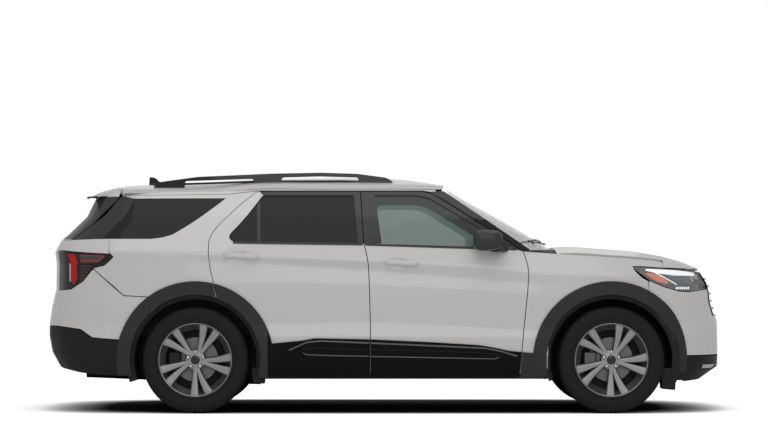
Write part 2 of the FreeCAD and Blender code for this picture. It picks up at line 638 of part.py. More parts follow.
rail_low, rail_high = 480.0, 590.0
BOW_DEPTH, BOW_WIDTH = 45.0, 90.0
front_house = wheel_hole(front_axle, house_radius, -FAR, -500).cut(
    wheel_hole(front_axle, house_radius - 14, -FAR, -514))
front_house = front_house.common(box(bulkhead + 40, nose, -FAR, 0, 570, 1400))
front_half = [front_house, box(bulkhead + 40, nose - 190, -480, -400, rail_low, rail_high),
              box(bulkhead + 40, bulkhead + 110, -514, -400, 570, rail_high),
              box(nose - 230, nose, -640, 0, rail_low, rail_high),
              box(nose - 330, nose - 290, -560, 0, 330, 990),
              box(nose - 330, nose, -560, 0, 340, 370),
              box(nose - 330, nose, -800, 0, 945, 975),
              box(nose - 330, nose - 230, -480, -400, 340, 975),
              box(front_axle - 60, front_axle + 60, -400, -size("engine_width") / 2 - seat,
                  500, 560)]
front_half = front_half[0].fuse(front_half[1:]).common(outer_core)
keep("front_frame", clean(front_half.fuse(mirrored(front_half))))

roof_inner = crowned_skin(roof_profile, BOW_DEPTH, ROOF_HALF, roof_drop, ROOF_POWER, None,
                          size("roof_thickness") + seat)
bow_starts = (250, -190, -1110, tail + 620)
bow_room = [box(x, x + BOW_WIDTH, -FAR, FAR, 1500, 1800) for x in bow_starts]
for side in (RIGHT, LEFT):
    middle_y = side * size("rail_spread")
    bow_room.append(box(bow_starts[-1], bow_starts[0] + BOW_WIDTH, middle_y - BOW_WIDTH / 2,
                        middle_y + BOW_WIDTH / 2, 1500, 1800))
bow_half = roof_inner.common(bow_room[0].fuse(bow_room[1:])).common(cabin_core)
keep("roof_bows", clean(bow_half.fuse(mirrored(bow_half))))

# Cabin.
def across(points, half, centre=0.0, radius=12.0):
    """A side-view outline carried across the car about one centre line."""
    return side_prism(points, 0.0, radius, centre - half, centre + half)


dash = across([(bulkhead - seat, 1125, 20), (bulkhead - 330, 1110, 60),
               (bulkhead - 400, 1000, 60), (bulkhead - 330, 700, 60),
               (bulkhead - seat, 640)], 800)
console = across([(bulkhead - 310, deck + seat), (bulkhead - 310, 800, 60),
                  (bulkhead - 420, 640, 80), (40, 620, 40), (40, deck + seat)], 120)
keep("dashboard", clean(dash.fuse(console)))


def seat_shape(hip, base, half, centre, head_offsets):
    """One seat: cushion, back and headrests, standing on the floor."""
    body = across([(hip + 40, base), (hip + 480, base), (hip + 520, base + 290, 60),
                   (hip + 60, base + 260, 60), (hip - 120, base + 860, 60),
                   (hip - 240, base + 860, 60), (hip - 60, base + 120, 80)], half, centre)
    heads = [across([(hip - 140, base + 840), (hip - 150, base + 1030, 40),
                     (hip - 240, base + 1030, 40), (hip - 235, base + 840)],
                    125, centre + offset) for offset in head_offsets]
    return clean(body.fuse(heads))


seats = [seat_shape(10, deck + seat, 250, side * 380, [0]) for side in (RIGHT, LEFT)]
seats.append(seat_shape(-880, deck + seat, 640, 0, [-420, 0, 420]))
seats[-1] = seats[-1].cut(box(-2000, step_x + 1, -FAR, FAR, 0, cargo_deck + seat))
seats.append(across([(-1690, cargo_deck + seat), (-1400, cargo_deck + seat),
                     (-1380, 760, 40), (-1640, 770, 40), (-1720, 1180, 50),
                     (-1800, 1180, 50)], 540))
keep("seats", Part.Compound(seats))
column_base = Vec(bulkhead - 330, 400, 960)
column_axis = Vec(-math.cos(math.radians(24)), 0, math.sin(math.radians(24)))
column_turn = FreeCAD.Rotation(Vec(0, 0, 1), column_axis)
rim = Part.makeTorus(size("steering_wheel_radius"), size("steering_rim_radius"))
boss = Part.makeCylinder(62, 36, Vec(0, 0, -20))
arms = [Part.makeBox(size("steering_wheel_radius") - 20, 40, 14, Vec(20, -20, -7)).rotate(
    Vec(0, 0, 0), Vec(0, 0, 1), turn) for turn in (90, 270, 180)]
shaft = Part.makeCylinder(20, 200, Vec(0, 0, -200))
steering_wheel = clean(rim.fuse([boss, shaft] + arms))
wheel_centre = column_base + column_axis * 220
steering_wheel.Placement = FreeCAD.Placement(wheel_centre, column_turn)
keep("steering_wheel", steering_wheel)
sleeve = Part.makeCylinder(36, 150, Vec(0, 0, -220)).cut(
    Part.makeCylinder(20 + seat, 150, Vec(0, 0, -220)))
sleeve.Placement = FreeCAD.Placement(wheel_centre, column_turn)
shaft_room = Part.makeCylinder(20 + seat, 260, Vec(0, 0, -240))
shaft_room.Placement = sleeve.Placement
pieces["dashboard"].Shape = clean(dash.fuse([console, sleeve]).cut(shaft_room))

# Mirrors, roof rails and aerial.
mirror_x = front_axle - 1055
mirror = Part.makeBox(238, 168, 162, Vec(mirror_x, -half_width - 132, 1176))
mirror = mirror.makeFillet(38, mirror.Edges)
arm = Part.makeBox(110, 90, 34, Vec(mirror_x + 110, -1000, 1186)).fuse(
    Part.makeBox(90, 60, 60, Vec(mirror_x + 115, -1010, 1186)))
mirror = clean(mirror.fuse(arm).cut(half_wall(-seat, wall, 7)))
keep("mirror_right", mirror)
keep("mirror_left", mirrored(mirror))
spread = size("rail_spread")
rail_shape = across([(tail + 800, 1600), (tail + 850, 1690, 30), (tail + 1150, 1731, 200),
                     (tail + 1690, 1755, 900), (-470, 1762, 900), (-200, 1754, 300),
                     (40, 1722, 100), (135, 1600)],
                    size("rail_width") / 2, -spread)
rail_gap = across([(tail + 1760, 1500), (tail + 1770, 1726, 20), (-480, 1734, 300),
                   (-190, 1726, 20), (-160, 1500)], 60, -spread)
slot = across([(tail + 1040, 1500), (tail + 1060, 1700, 12), (tail + 1560, 1716, 12),
               (tail + 1590, 1500)], 60, -spread)
roof_block = crowned_skin(roof_profile, 200.0, ROOF_HALF, roof_drop, ROOF_POWER)
roof_block.translate(Vec(0, 0, seat))
rail_right = rail_shape.cut([roof_block, rail_gap, slot])
fin = across([(tail + 740, 1600), (tail + 745, 1752, 12), (tail + 790, 1748, 60),
              (tail + 930, 1600)], 14)
fin = fin.cut(roof_block)
keep("roof_rails", Part.Compound(sorted(rail_right.Solids, key=lambda k: -k.Volume)
                                 + mirrored(rail_right).Solids + [largest(fin)]))

# Heavy masses and the underside.
engine_block = doc.addObject("Part::Box", "engine")
engine_block.Label = "engine"
engine_block.setExpression("Length", "Dimensions.engine_length")
engine_block.setExpression("Width", "Dimensions.engine_width")
engine_block.setExpression("Height", "Dimensions.engine_height")
engine_block.Placement.Base = Vec(bulkhead + 90, -size("engine_width") / 2, 440)
pieces["engine"] = engine_block
pipe_z = floor - size("pipe_radius") - 14
pipe = Part.makeCylinder(size("pipe_radius"), bulkhead - step_x - 60,
                         Vec(step_x + 30, 160, pipe_z), Vec(1, 0, 0))
tail_pipe = Part.makeCylinder(size("pipe_radius"), 900, Vec(tail + 250, 160, pipe_z),
                              Vec(1, 0, 0))
muffler = Part.makeCylinder(110, 620, Vec(tail + 400, -310, 400), Vec(0, 1, 0))
hangers = [box(x, x + 30, 145, 175, pipe_z, floor - seat) for x in (-500, 300, 1000)]
hanger_rear = box(tail + 385, tail + 415, 145, 175, 400, cargo_floor - seat)
keep("exhaust", clean(pipe.fuse([tail_pipe, muffler, hanger_rear] + hangers + [
    box(tail + 370, tail + 430, 130, 190, pipe_z, 400),
    Part.makeCylinder(size("pipe_radius"), step_x - tail - 1000,
                      Vec(tail + 1000, 160, pipe_z), Vec(1, 0, 0))])))

kingpin = half_track - size("kingpin_offset")
pin = size("kingpin_radius")
arm_low, arm_high, arm_depth = axle_height - 140, axle_height + 115, 26.0


def wishbone(axle, z, inner, outer):
    """A flat arm that narrows from the frame to the ball joint."""
    points = [Vec(axle - 130, -inner, z), Vec(axle + 130, -inner, z),
              Vec(axle + 24, -outer, z), Vec(axle - 24, -outer, z)]
    return Part.Face(Part.makePolygon(points + [points[0]])).extrude(Vec(0, 0, arm_depth)).fuse(
        Part.makeCylinder(24, arm_depth, Vec(axle, -outer, z)))


low_arm = wishbone(front_axle, arm_low, 380, kingpin)
high_arm = wishbone(front_axle, arm_high, 480 + seat, kingpin)
pins = [Part.makeCylinder(pin, 24, Vec(front_axle, -kingpin, arm_low + arm_depth)),
        Part.makeCylinder(pin, 24, Vec(front_axle, -kingpin, arm_high - 24))]
post = box(front_axle - 60, front_axle + 60, -480, -400, arm_low, rail_low - seat)
upper_mount = box(front_axle - 150, front_axle + 150, -500, -480 - seat, arm_high - 10,
                  arm_high + arm_depth + 10)
front_side = low_arm.fuse([post, high_arm, upper_mount] + pins)
crossmember = box(front_axle - 160, front_axle + 160, -400, 400, arm_low - 10, arm_low + 60)
front_frame = crossmember.fuse([front_side, mirrored(front_side)])
rack = cylinder_y(28, front_axle - 120, arm_low + 88, -380, 380)
front_frame = front_frame.fuse(rack)
keep("front_suspension", Part.Compound(front_frame.Solids))


def carrier(axle, steered):
    """A right-hand hub carrier: stub axle, upright and brake caliper."""
    plane = -half_track
    upright = box(axle - 40, axle + 40, plane + 20, plane + 62, axle_height - 60,
                  axle_height + 60)
    stub = cylinder_y(size("centre_bore") / 2 - seat, axle, axle_height, plane - 96, plane + 40)
    caliper = box(axle - 196, axle - 108, plane - 62, plane + 56, axle_height - 58,
                  axle_height + 58)
    caliper = caliper.makeFillet(12, caliper.Edges).cut(
        cylinder_y(size("disc_radius") + 6, axle, axle_height, plane - 23, plane + 15))
    bracket = box(axle - 124, axle - 30, plane + 20, plane + 50, axle_height - 28,
                  axle_height + 28)
    parts_of = [stub, caliper, bracket]
    if steered:
        post_low = arm_low + arm_depth + 0.5
        post_high = arm_high - 0.5
        parts_of.append(Part.makeCylinder(26, post_high - post_low,
                                          Vec(axle, -kingpin, post_low)))
    shape = upright.fuse(parts_of)
    if steered:
        for z in (arm_low, arm_high - 30):
            shape = shape.cut(Part.makeCylinder(pin + seat, 56, Vec(axle, -kingpin, z)))
    return clean(shape)


knuckle = carrier(front_axle, True)
keep("knuckle_right", knuckle)
keep("knuckle_left", mirrored(knuckle))
rear_carrier = carrier(rear_axle, False)
rear_arms = [box(rear_axle + x, rear_axle + x + 50, -half_track + 40, -400, z, z + 30)
             for x, z in ((-30, axle_height - 50), (-10, axle_height + 25))]
rear_half = rear_carrier.fuse(rear_arms + [
    box(rear_axle - 60, rear_axle + 60, -480, -400, 330, cargo_floor - seat)])
rear_frame = rear_half.fuse([mirrored(rear_half),
                             box(rear_axle - 160, rear_axle + 160, -420, 420, 330, 400)])
keep("rear_suspension", clean(rear_frame))

# Wheels: turned about +Z in their own frame, with the outer face upwards, then stood up.
def wheel_place(axle, side):
    """Where a wheel sits: its own +Z points outwards across the car."""
    turn = FreeCAD.Rotation(Vec(0, 0, 1), Vec(0, side, 0))
    return FreeCAD.Placement(Vec(axle, side * half_track, axle_height), turn)


def turned(points):
    """A ring turned from a closed (radius, offset) outline."""
    outline = Part.makePolygon([Vec(r, 0, w) for r, w in points + points[:1]])
    return Part.Face(outline).revolve(Vec(0, 0, 0), Vec(0, 0, 1), 360)


radius = size("wheel_radius")
half_tyre = size("tyre_width") / 2
tread = size("tread_width") / 2
bead = size("bead_radius")
half_bead = size("bead_width") / 2
tyre_shape = turned([(bead, -half_bead), (bead + 48, -half_tyre), (radius - 36, -half_tyre),
                     (radius, -tread), (radius, tread), (radius - 36, half_tyre),
                     (bead + 48, half_tyre), (bead, half_bead)])
lip = size("rim_radius")
rim_half = size("rim_width") / 2
rim_seat = bead - seat
barrel = turned([(rim_seat - size("rim_wall"), -rim_half), (lip - 4, -rim_half),
                 (lip - 4, -rim_half + 4), (rim_seat, -half_bead - 1),
                 (rim_seat, half_bead + 1), (lip - 4, rim_half - 4), (lip - 4, rim_half),
                 (rim_seat - size("rim_wall"), rim_half)])
face_top = rim_half - size("spoke_inset")
hub = Part.makeCylinder(size("hub_radius"), size("hub_depth"),
                        Vec(0, 0, face_top - size("hub_depth")))
spoke_root, spoke_tip = 40.0, rim_seat - 4
spokes = []
for group in range(5):
    for lean in (-13, 13):
        bar = Part.makeBox(spoke_tip - spoke_root, 26, size("spoke_depth"),
                           Vec(spoke_root, -13, face_top - size("spoke_depth")))
        bar.rotate(Vec(0, 0, 0), Vec(0, 0, 1), group * 72 + lean)
        spokes.append(bar)
disc = Part.makeCylinder(size("disc_radius"), size("disc_thickness"),
                         Vec(0, 0, rim_half - size("disc_inset") - 12 - size("disc_thickness")))
rim_shape = barrel.fuse([hub, disc] + spokes)
rim_shape = rim_shape.cut(Part.makeCylinder(size("centre_bore") / 2, 400, Vec(0, 0, -200)))
for count in range(5):
    turn = math.radians(72 * count)
    spot = Vec(size("lug_circle") / 2 * math.cos(turn), size("lug_circle") / 2 * math.sin(turn),
               face_top - 30)
    rim_shape = rim_shape.cut(Part.makeCylinder(size("lug_hole") / 2, 60, spot))
rim_shape = clean(rim_shape)
for end, axle in (("front", front_axle), ("rear", rear_axle)):
    for side_name, side in (("right", RIGHT), ("left", LEFT)):
        for kind, shape in (("tyre", tyre_shape), ("rim", rim_shape)):
            feature = keep("%s_%s_%s" % (kind, end, side_name), shape)
            feature.Placement = wheel_place(axle, side)

doc.recompute()
problems = []
for item in doc.Objects:
    if "Invalid" in item.State or "Error" in item.State:
        problems.append(item.Label + " failed to compute")
for label, item in pieces.items():
    if item.Shape.isNull() or not item.Shape.isValid():
        problems.append(label + " has no valid shape")
if problems:
    raise SystemExit("; ".join(problems))
os.makedirs("parts", exist_ok=True)
for label, item in pieces.items():
    item.Shape.exportStep("parts/%s.step" % label)
    print(label, len(item.Shape.Solids), round(item.Shape.Volume / 1e6, 2))
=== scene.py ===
# %% [markdown]
# A family utility vehicle is mostly one idea repeated: a painted sheet, pressed to
# a smooth form and cut along lines that its neighbours share. This lesson dresses a finished
# engineering model of it. The model stays the frame: it says where every piece is and which
# piece moves with which, and nothing here moves it.

# %% Load the frame
import math

import bmesh
import bpy
import numpy as np
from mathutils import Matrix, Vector


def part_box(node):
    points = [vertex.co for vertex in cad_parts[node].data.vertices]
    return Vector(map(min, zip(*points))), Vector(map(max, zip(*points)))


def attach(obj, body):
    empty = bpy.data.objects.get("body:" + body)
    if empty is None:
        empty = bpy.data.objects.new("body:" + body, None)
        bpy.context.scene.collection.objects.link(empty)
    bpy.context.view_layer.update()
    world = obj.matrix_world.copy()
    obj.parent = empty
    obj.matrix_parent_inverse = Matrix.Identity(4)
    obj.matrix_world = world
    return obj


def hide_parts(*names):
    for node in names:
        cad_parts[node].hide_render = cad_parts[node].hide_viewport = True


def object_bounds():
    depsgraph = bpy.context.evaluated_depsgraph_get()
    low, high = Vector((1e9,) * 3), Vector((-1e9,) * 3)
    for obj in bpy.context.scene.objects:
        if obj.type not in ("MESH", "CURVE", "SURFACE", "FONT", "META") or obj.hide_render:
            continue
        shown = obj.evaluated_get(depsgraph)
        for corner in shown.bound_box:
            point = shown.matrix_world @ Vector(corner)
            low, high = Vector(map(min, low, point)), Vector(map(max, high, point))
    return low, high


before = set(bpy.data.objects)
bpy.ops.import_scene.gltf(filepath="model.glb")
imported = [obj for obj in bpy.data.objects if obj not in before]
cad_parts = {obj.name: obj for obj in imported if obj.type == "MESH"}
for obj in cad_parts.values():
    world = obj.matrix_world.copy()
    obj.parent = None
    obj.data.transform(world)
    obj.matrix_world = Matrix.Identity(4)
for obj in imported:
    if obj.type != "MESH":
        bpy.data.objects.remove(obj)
CAD_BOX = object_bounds()
SIDES = {"right": -1.0, "left": 1.0}

# %% [markdown]
# Everything below is measured from a few places that the frame knows: both ends of the car
# and the middles of its wheels. Lengths are metres, +X is ahead and +Z is up.

# %% Driving places
NOSE = CAD_BOX[1].x
TAIL = CAD_BOX[0].x


def middle(node):
    """The middle of a node's box."""
    low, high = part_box(node)
    return (low + high) / 2


FRONT_AXLE = middle("tyre_front_right").x
REAR_AXLE = middle("tyre_rear_right").x
AXLE_HEIGHT = middle("tyre_front_right").z
TRACK_HALF = abs(middle("tyre_front_right").y)
print("axles at", round(FRONT_AXLE, 3), round(REAR_AXLE, 3), "height", round(AXLE_HEIGHT, 3))

# %% [markdown]
# A mesh is a list of points and a list of faces. The pieces of a car could be pulled into
# shape by hand in edit mode, but then no size could be changed later. Here almost every piece
# starts as a grid of points that a formula gives. One helper numbers the quads of such a grid,
# and two more put a drawn side on either side of the car and round its ends.


# %% Grids
def quads(rows, columns, close_rows=False, close_columns=False):
    """Faces of a grid: each joins point (r, c) to its next row and column."""
    r = np.arange(rows if close_rows else rows - 1)[:, None]
    c = np.arange(columns if close_columns else columns - 1)[None, :]
    r_next, c_next = (r + 1) % rows, (c + 1) % columns
    faces = [r * columns + c, r * columns + c_next,
             r_next * columns + c_next, r_next * columns + c]
    return np.stack([np.broadcast_to(f, (r.size, c.size)) for f in faces], -1).reshape(-1, 4)


def flip(points, side):
    """Points drawn for the right-hand side, put on the side asked for."""
    return points * np.array([1.0, -side, 1.0])


END_ROUNDING = 0.045


def rounded_ends(points):
    """Draws the corners of the nose and the tail in, seen from above.

    A point moves in by 45 mm times the smooth share of its way from 2.06 m to 2.45 m along
    the car, times its distance from the middle over 0.6 m to the power 1.5.
    """
    share = np.clip((np.abs(points[:, 0]) - 2.06) / 0.39, 0, 1)
    share = share * share * (3 - 2 * share)
    aside = np.clip(np.abs(points[:, 1]) / 0.6, 0, 1) ** 1.5
    moved = points.copy()
    moved[:, 0] -= np.sign(points[:, 0]) * END_ROUNDING * share * aside
    return moved


print("a grid of 3 by 4 points has", len(quads(3, 4)), "faces")

# %% [markdown]
# A real panel is a closed sheet with two skins and a rim. This small class gathers grids into
# one piece, or takes a copy of a node of the model, merges the points that they share and
# turns all faces outwards. Solidify could give a sheet its thickness, but a second grid does
# it as well and lets the inner skin have its own finish.


# %% Pieces
MERGE_DISTANCE = 2e-5


def in_scene(name, data):
    """A new object of the scene that shows a mesh, a lamp or a camera."""
    thing = bpy.data.objects.new(name, data)
    bpy.context.scene.collection.objects.link(thing)
    return thing


class Piece:
    """Collects grids of points and makes one mesh object of them."""

    def __init__(self, name):
        self.name = name
        self.points, self.faces, self.groups, self.count = [], [], [], 0

    def grid(self, points, material=0, close_rows=False, close_columns=False):
        """Adds one grid of points, of the shape (rows, columns, 3)."""
        rows, columns = points.shape[:2]
        faces = quads(rows, columns, close_rows, close_columns) + self.count
        self.points.append(points.reshape(-1, 3))
        self.faces.append(faces)
        self.groups.append(np.full(len(faces), material))
        self.count += rows * columns
        return self

    def shell(self, outer, inner, material=0, inside=None):
        """Adds a closed skin: an outer grid, an inner grid and the rim between them."""
        self.grid(outer, material)
        self.grid(inner, material if inside is None else inside)
        for end in (0, -1):
            self.grid(np.stack([outer[end], inner[end]]), material)
        for end in (0, -1):
            self.grid(np.stack([outer[:, end], inner[:, end]]), material)

    def copy(self, node, choose=None, cuts=(), shape=None):
        """Adds a node's own triangles. choose(middles, normals) picks each one's material.

        cuts are planes (point, normal) that split its faces first, so that a change of
        finish runs straight. shape(points) may move the copy's points.
        """
        work = bmesh.new()
        work.from_mesh(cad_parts[node].data)
        bmesh.ops.remove_doubles(work, verts=work.verts, dist=MERGE_DISTANCE)
        for point, normal in cuts:
            bmesh.ops.bisect_plane(work, geom=work.verts[:] + work.edges[:] + work.faces[:],
                                   plane_co=point, plane_no=normal)
        bmesh.ops.triangulate(work, faces=work.faces)
        mesh = bpy.data.meshes.new("copy")
        work.to_mesh(mesh)
        work.free()
        points = np.empty(len(mesh.vertices) * 3)
        corners = np.empty(len(mesh.loops), int)
        mesh.vertices.foreach_get("co", points)
        mesh.loops.foreach_get("vertex_index", corners)
        bpy.data.meshes.remove(mesh)
        points, faces = points.reshape(-1, 3), corners.reshape(-1, 3)
        if shape is not None:
            points = shape(points)
        a, b, c = (points[faces[:, k]] for k in range(3))
        normals = np.cross(b - a, c - a)
        normals /= np.linalg.norm(normals, axis=1, keepdims=True) + 1e-12
        chosen = np.zeros(len(faces)) if choose is None else choose((a + b + c) / 3, normals)
        self.points.append(points)
        self.faces.append(faces + self.count)
        self.groups.append(np.asarray(chosen, int))
        self.count += len(points)
        return self

    def make(self, body, slot, materials, replaces=(), sharp=38.0, bevel=0.0, even=False):
        """Builds the object, rides it on its body and gives it its materials."""
        mesh = bpy.data.meshes.new(self.name)
        points = rounded_ends(np.concatenate(self.points))
        mesh.from_pydata(points.tolist(), [], [f for block in self.faces for f in block.tolist()])
        mesh.polygons.foreach_set("material_index", np.concatenate(self.groups))
        work = bmesh.new()
        work.from_mesh(mesh)
        bmesh.ops.remove_doubles(work, verts=work.verts, dist=MERGE_DISTANCE)
        bmesh.ops.dissolve_degenerate(work, edges=work.edges, dist=1e-6)
        bmesh.ops.recalc_face_normals(work, faces=work.faces)
        work.to_mesh(mesh)
        work.free()
        mesh.polygons.foreach_set("use_smooth", np.ones(len(mesh.polygons), bool))
        mesh.set_sharp_from_angle(angle=math.radians(sharp))
        thing = in_scene(self.name, mesh)
        for material in materials:
            mesh.materials.append(material)
        if bevel:
            edge = thing.modifiers.new("edge", "BEVEL")
            edge.width, edge.segments, edge.limit_method = bevel, 2, "ANGLE"
            edge.angle_limit, edge.harden_normals = math.radians(50), True
        if even:
            weighted = thing.modifiers.new("even_shading", "WEIGHTED_NORMAL")
            weighted.keep_sharp = True
        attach(thing, body)
        if replaces:
            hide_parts(*replaces)
        print(self.name, "has", len(mesh.polygons), "faces and rides on", body)
        return thing


# %% [markdown]
# Materials come before the pieces, so that each piece can name its finish. Nodes could be
# drawn by hand, but sums of many nodes are hard to read. A small class wraps an output socket
# instead, so that `1 - mask * 0.5` adds the Math nodes by itself.


# %% Sums of sockets
class Wire:
    """An output socket that can be used in sums."""

    def __init__(self, tree, socket):
        self.tree, self.socket = tree, socket

    def math(self, operation, *others, first=False):
        """Adds a Math node; with first, the other values come before this one."""
        node = self.tree.nodes.new("ShaderNodeMath")
        node.operation = operation
        values = list(others) + [self] if first else [self] + list(others)
        for slot, value in zip(node.inputs, values):
            connect(self.tree, slot, value)
        return Wire(self.tree, node.outputs[0])

    def __add__(self, other):
        return self.math("ADD", other)

    def __mul__(self, other):
        return self.math("MULTIPLY", other)

    def __sub__(self, other):
        return self.math("SUBTRACT", other)

    def __rsub__(self, other):
        return self.math("SUBTRACT", other, first=True)

    __radd__ = __add__
    __rmul__ = __mul__


def connect(tree, slot, value):
    """Links a wire to an input, or sets the input's own value."""
    if isinstance(value, Wire):
        tree.links.new(value.socket, slot)
    elif isinstance(value, (tuple, list)) and len(value) == 3 and slot.type == "RGBA":
        slot.default_value = (*value, 1.0)
    else:
        slot.default_value = value


# %% [markdown]
# A finish is one Principled shader and what feeds it. Any node comes from its type, its
# settings and its inputs. Only colour, roughness, coat, alpha, glow and bump vary over a
# surface: they are what a baked model can keep. Patterns follow Object coordinates, in
# metres, so a leather grain is as fine on a mirror as on a bumper.


# %% Finishes and their nodes
class Finish:
    """One material: a Principled shader and the nodes that feed it."""

    def __init__(self, name, colour, roughness, **fixed):
        self.material = bpy.data.materials.new(name)
        self.material.use_nodes = True
        self.tree = self.material.node_tree
        self.shader = self.tree.nodes["Principled BSDF"]
        self.set(Base_Color=colour, Roughness=roughness, **fixed)
        self.material.diffuse_color = (*colour, 1.0)

    def set(self, **values):
        """Sets or links inputs of the shader; an underscore stands for a space."""
        for name, value in values.items():
            connect(self.tree, self.shader.inputs[name.replace("_", " ")], value)

    def node(self, kind, settings=None, output=0, **inputs):
        """Any node by its type, with its settings first and then its inputs."""
        node = self.tree.nodes.new("ShaderNode" + kind)
        for name, value in (settings or {}).items():
            setattr(node, name, value)
        for name, value in inputs.items():
            connect(self.tree, node.inputs[name.replace("_", " ")], value)
        return Wire(self.tree, node.outputs[output])

    def place(self):
        """The point on the object, in metres, which stays with it when it moves."""
        return self.node("TexCoord", output="Object")

    def axis(self, name):
        """One coordinate of that point: x, y or z."""
        return self.node("SeparateXYZ", output=name.upper(), Vector=self.place())

    def noise(self, scale, detail=3.0):
        """Cloudy values round 0.5."""
        return self.node("TexNoise", Vector=self.place(), Scale=scale, Detail=detail)

    def mix(self, factor, a, b):
        """Colour a where the factor is 0 and b where it is 1."""
        node = self.tree.nodes.new("ShaderNodeMix")
        node.data_type = "RGBA"
        for slot, value in ((node.inputs[0], factor), (node.inputs[6], a), (node.inputs[7], b)):
            connect(self.tree, slot, value)
        return Wire(self.tree, node.outputs[2])

    def bump(self, height, strength, distance):
        """Raises the surface by a height, through a Bump node into Normal."""
        self.set(Normal=self.node("Bump", Height=height, Strength=strength,
                                  Distance=distance))


# %% [markdown]
# The paint is a warm pale grey under a clear coat. Two things keep it from looking like
# plastic: a faint mottle, as flakes and orange peel give, and the coat's own sharp gloss over
# the base's soft one. An image could carry the flakes, but noise needs no file and has no
# seams. The mouldings are a grained black plastic: their gloss is broken by a fine
# leather-like grain.


# %% Paint and plastic
def paint_finish():
    """Body colour with fine flakes below a clear coat."""
    finish = Finish("body_paint", (0.585, 0.576, 0.562), 0.32, Coat_Weight=0.6,
                    Coat_Roughness=0.06)
    flakes = finish.noise(900.0, 1.0)
    cloud = finish.noise(1.3, 2.0)
    tone = cloud * 0.25 + flakes * 0.75
    finish.set(Base_Color=finish.mix(tone, (0.560, 0.551, 0.538), (0.610, 0.600, 0.586)),
               Roughness=flakes * 0.12 + 0.26)
    return finish.material


def grained_finish(name, dark, light, roughness, grain=700.0, depth=0.25, gloss=0.3):
    """Moulded plastic with a leather grain and a little dust in its low places."""
    finish = Finish(name, dark, roughness, Specular_IOR_Level=gloss)
    cells = finish.node("TexVoronoi", {"feature": "DISTANCE_TO_EDGE"}, Vector=finish.place(),
                        Scale=grain)
    cloud = finish.noise(4.0)
    finish.set(Base_Color=finish.mix(cloud, dark, light),
               Roughness=cloud * 0.2 + (roughness - 0.1))
    finish.bump(cells, depth, 0.0004)
    return finish.material


def gloss_finish(name, colour, roughness=0.08, coat=1.0):
    """Smooth moulded or painted gloss with faint waviness."""
    finish = Finish(name, colour, roughness, Coat_Weight=coat, Coat_Roughness=0.02,
                    Specular_IOR_Level=0.35)
    wave = finish.noise(30.0, 2.0)
    light = tuple(min(1.0, c * 1.05 + 0.0005) for c in colour)
    finish.set(Base_Color=finish.mix(wave, colour, light), Roughness=wave * 0.02 + roughness)
    return finish.material


# %% [markdown]
# Metal shows only what it mirrors, so its roughness matters more than its colour. Window
# glass is thin, and a real sheet of it bends light so little that a mere share of see-through,
# the alpha, looks the same and renders faster. Lamp parts glow a little, because their own
# light and the light that their lens gathers are too fine to trace.


# %% Metal, glass and glow
def metal_finish(name, colour, roughness, scale=240.0):
    """Bare or painted metal with fine machining noise."""
    finish = Finish(name, colour, roughness, Metallic=1.0)
    grain = finish.noise(scale, 3.0)
    dark = tuple(c * 0.85 for c in colour)
    finish.set(Base_Color=finish.mix(grain, dark, colour), Roughness=grain * 0.2 + roughness)
    finish.bump(grain, 0.15, 0.0003)
    return finish.material


def glass_finish(name, colour, alpha, roughness=0.02, gloss=0.5):
    """A sheet that lets part of the light through: tinted by its colour and its alpha."""
    finish = Finish(name, colour, roughness, Specular_IOR_Level=gloss)
    haze = finish.noise(2.0, 1.0)
    finish.set(Alpha=haze * 0.04 + alpha, Roughness=haze * 0.02 + roughness)
    return finish.material


def glow_finish(name, colour, strength):
    """A lamp part that shows its own colour."""
    finish = Finish(name, colour, 0.25, Emission_Strength=strength)
    cells = finish.noise(220.0, 1.0)
    deep = tuple(c * 0.7 for c in colour)
    tone = finish.mix(cells, deep, colour)
    finish.set(Base_Color=tone, Emission_Color=tone)
    return finish.material


# %% [markdown]
# Each name below is one finish of this car, or a darker or paler copy of one. Blacks come in
# several depths: on the real car the mouldings low on the body get less light, so theirs are
# the darkest, as darker copies of the cladding's plastic with that shade painted in.

# %% The car's own finishes
PAINT = paint_finish()
CLADDING = grained_finish("cladding_grain", (0.020, 0.020, 0.021), (0.028, 0.028, 0.029), 0.5)
# A paler grey for the cladding's ledge and lower lip: a painted highlight.
HIGHLIGHT_GREY = grained_finish("painted_highlight_grey", (0.085, 0.085, 0.085), (0.11, 0.11, 0.11), 0.45)
# Darkest black: the low mouldings' plastic with painted shade; liners, floor and grille backs use
# it too.
LOWER_BLACK_AND_SHADE = grained_finish("lower_black_and_painted_shade", (0.005, 0.005, 0.005), (0.009, 0.009, 0.009), 0.6)
BLACK = gloss_finish("black_gloss", (0.006, 0.006, 0.006), 0.10, 0.25)
FRAME_BLACK = gloss_finish("frame_black", (0.026, 0.027, 0.027), 0.25, 0.1)
# The door claddings' black is a darker copy of the arch cladding's plastic: painted shade.
SHADED_SILL_BLACK = grained_finish("sill_grain_painted_shade", (0.005, 0.005, 0.005), (0.008, 0.008, 0.008), 0.55,
                            gloss=0.06)
INNER = grained_finish("inner_body", (0.03, 0.03, 0.032), (0.05, 0.05, 0.052), 0.6, 300.0)
CABIN = grained_finish("cabin_grain", (0.028, 0.028, 0.03), (0.04, 0.04, 0.043), 0.6, 900.0)
DARK_GLASS = glass_finish("dark_glass", (0.022, 0.024, 0.024), 0.985, 0.03, 0.12)
CLEAR_GLASS = glass_finish("clear_glass", (0.17, 0.25, 0.22), 0.45, 0.02, 0.3)
SCREEN_GLASS = glass_finish("screen_glass", (0.30, 0.36, 0.34), 0.25)
SILVER = metal_finish("silver", (0.55, 0.55, 0.55), 0.28)
RIM_METAL = metal_finish("rim_metal", (0.36, 0.36, 0.36), 0.32)
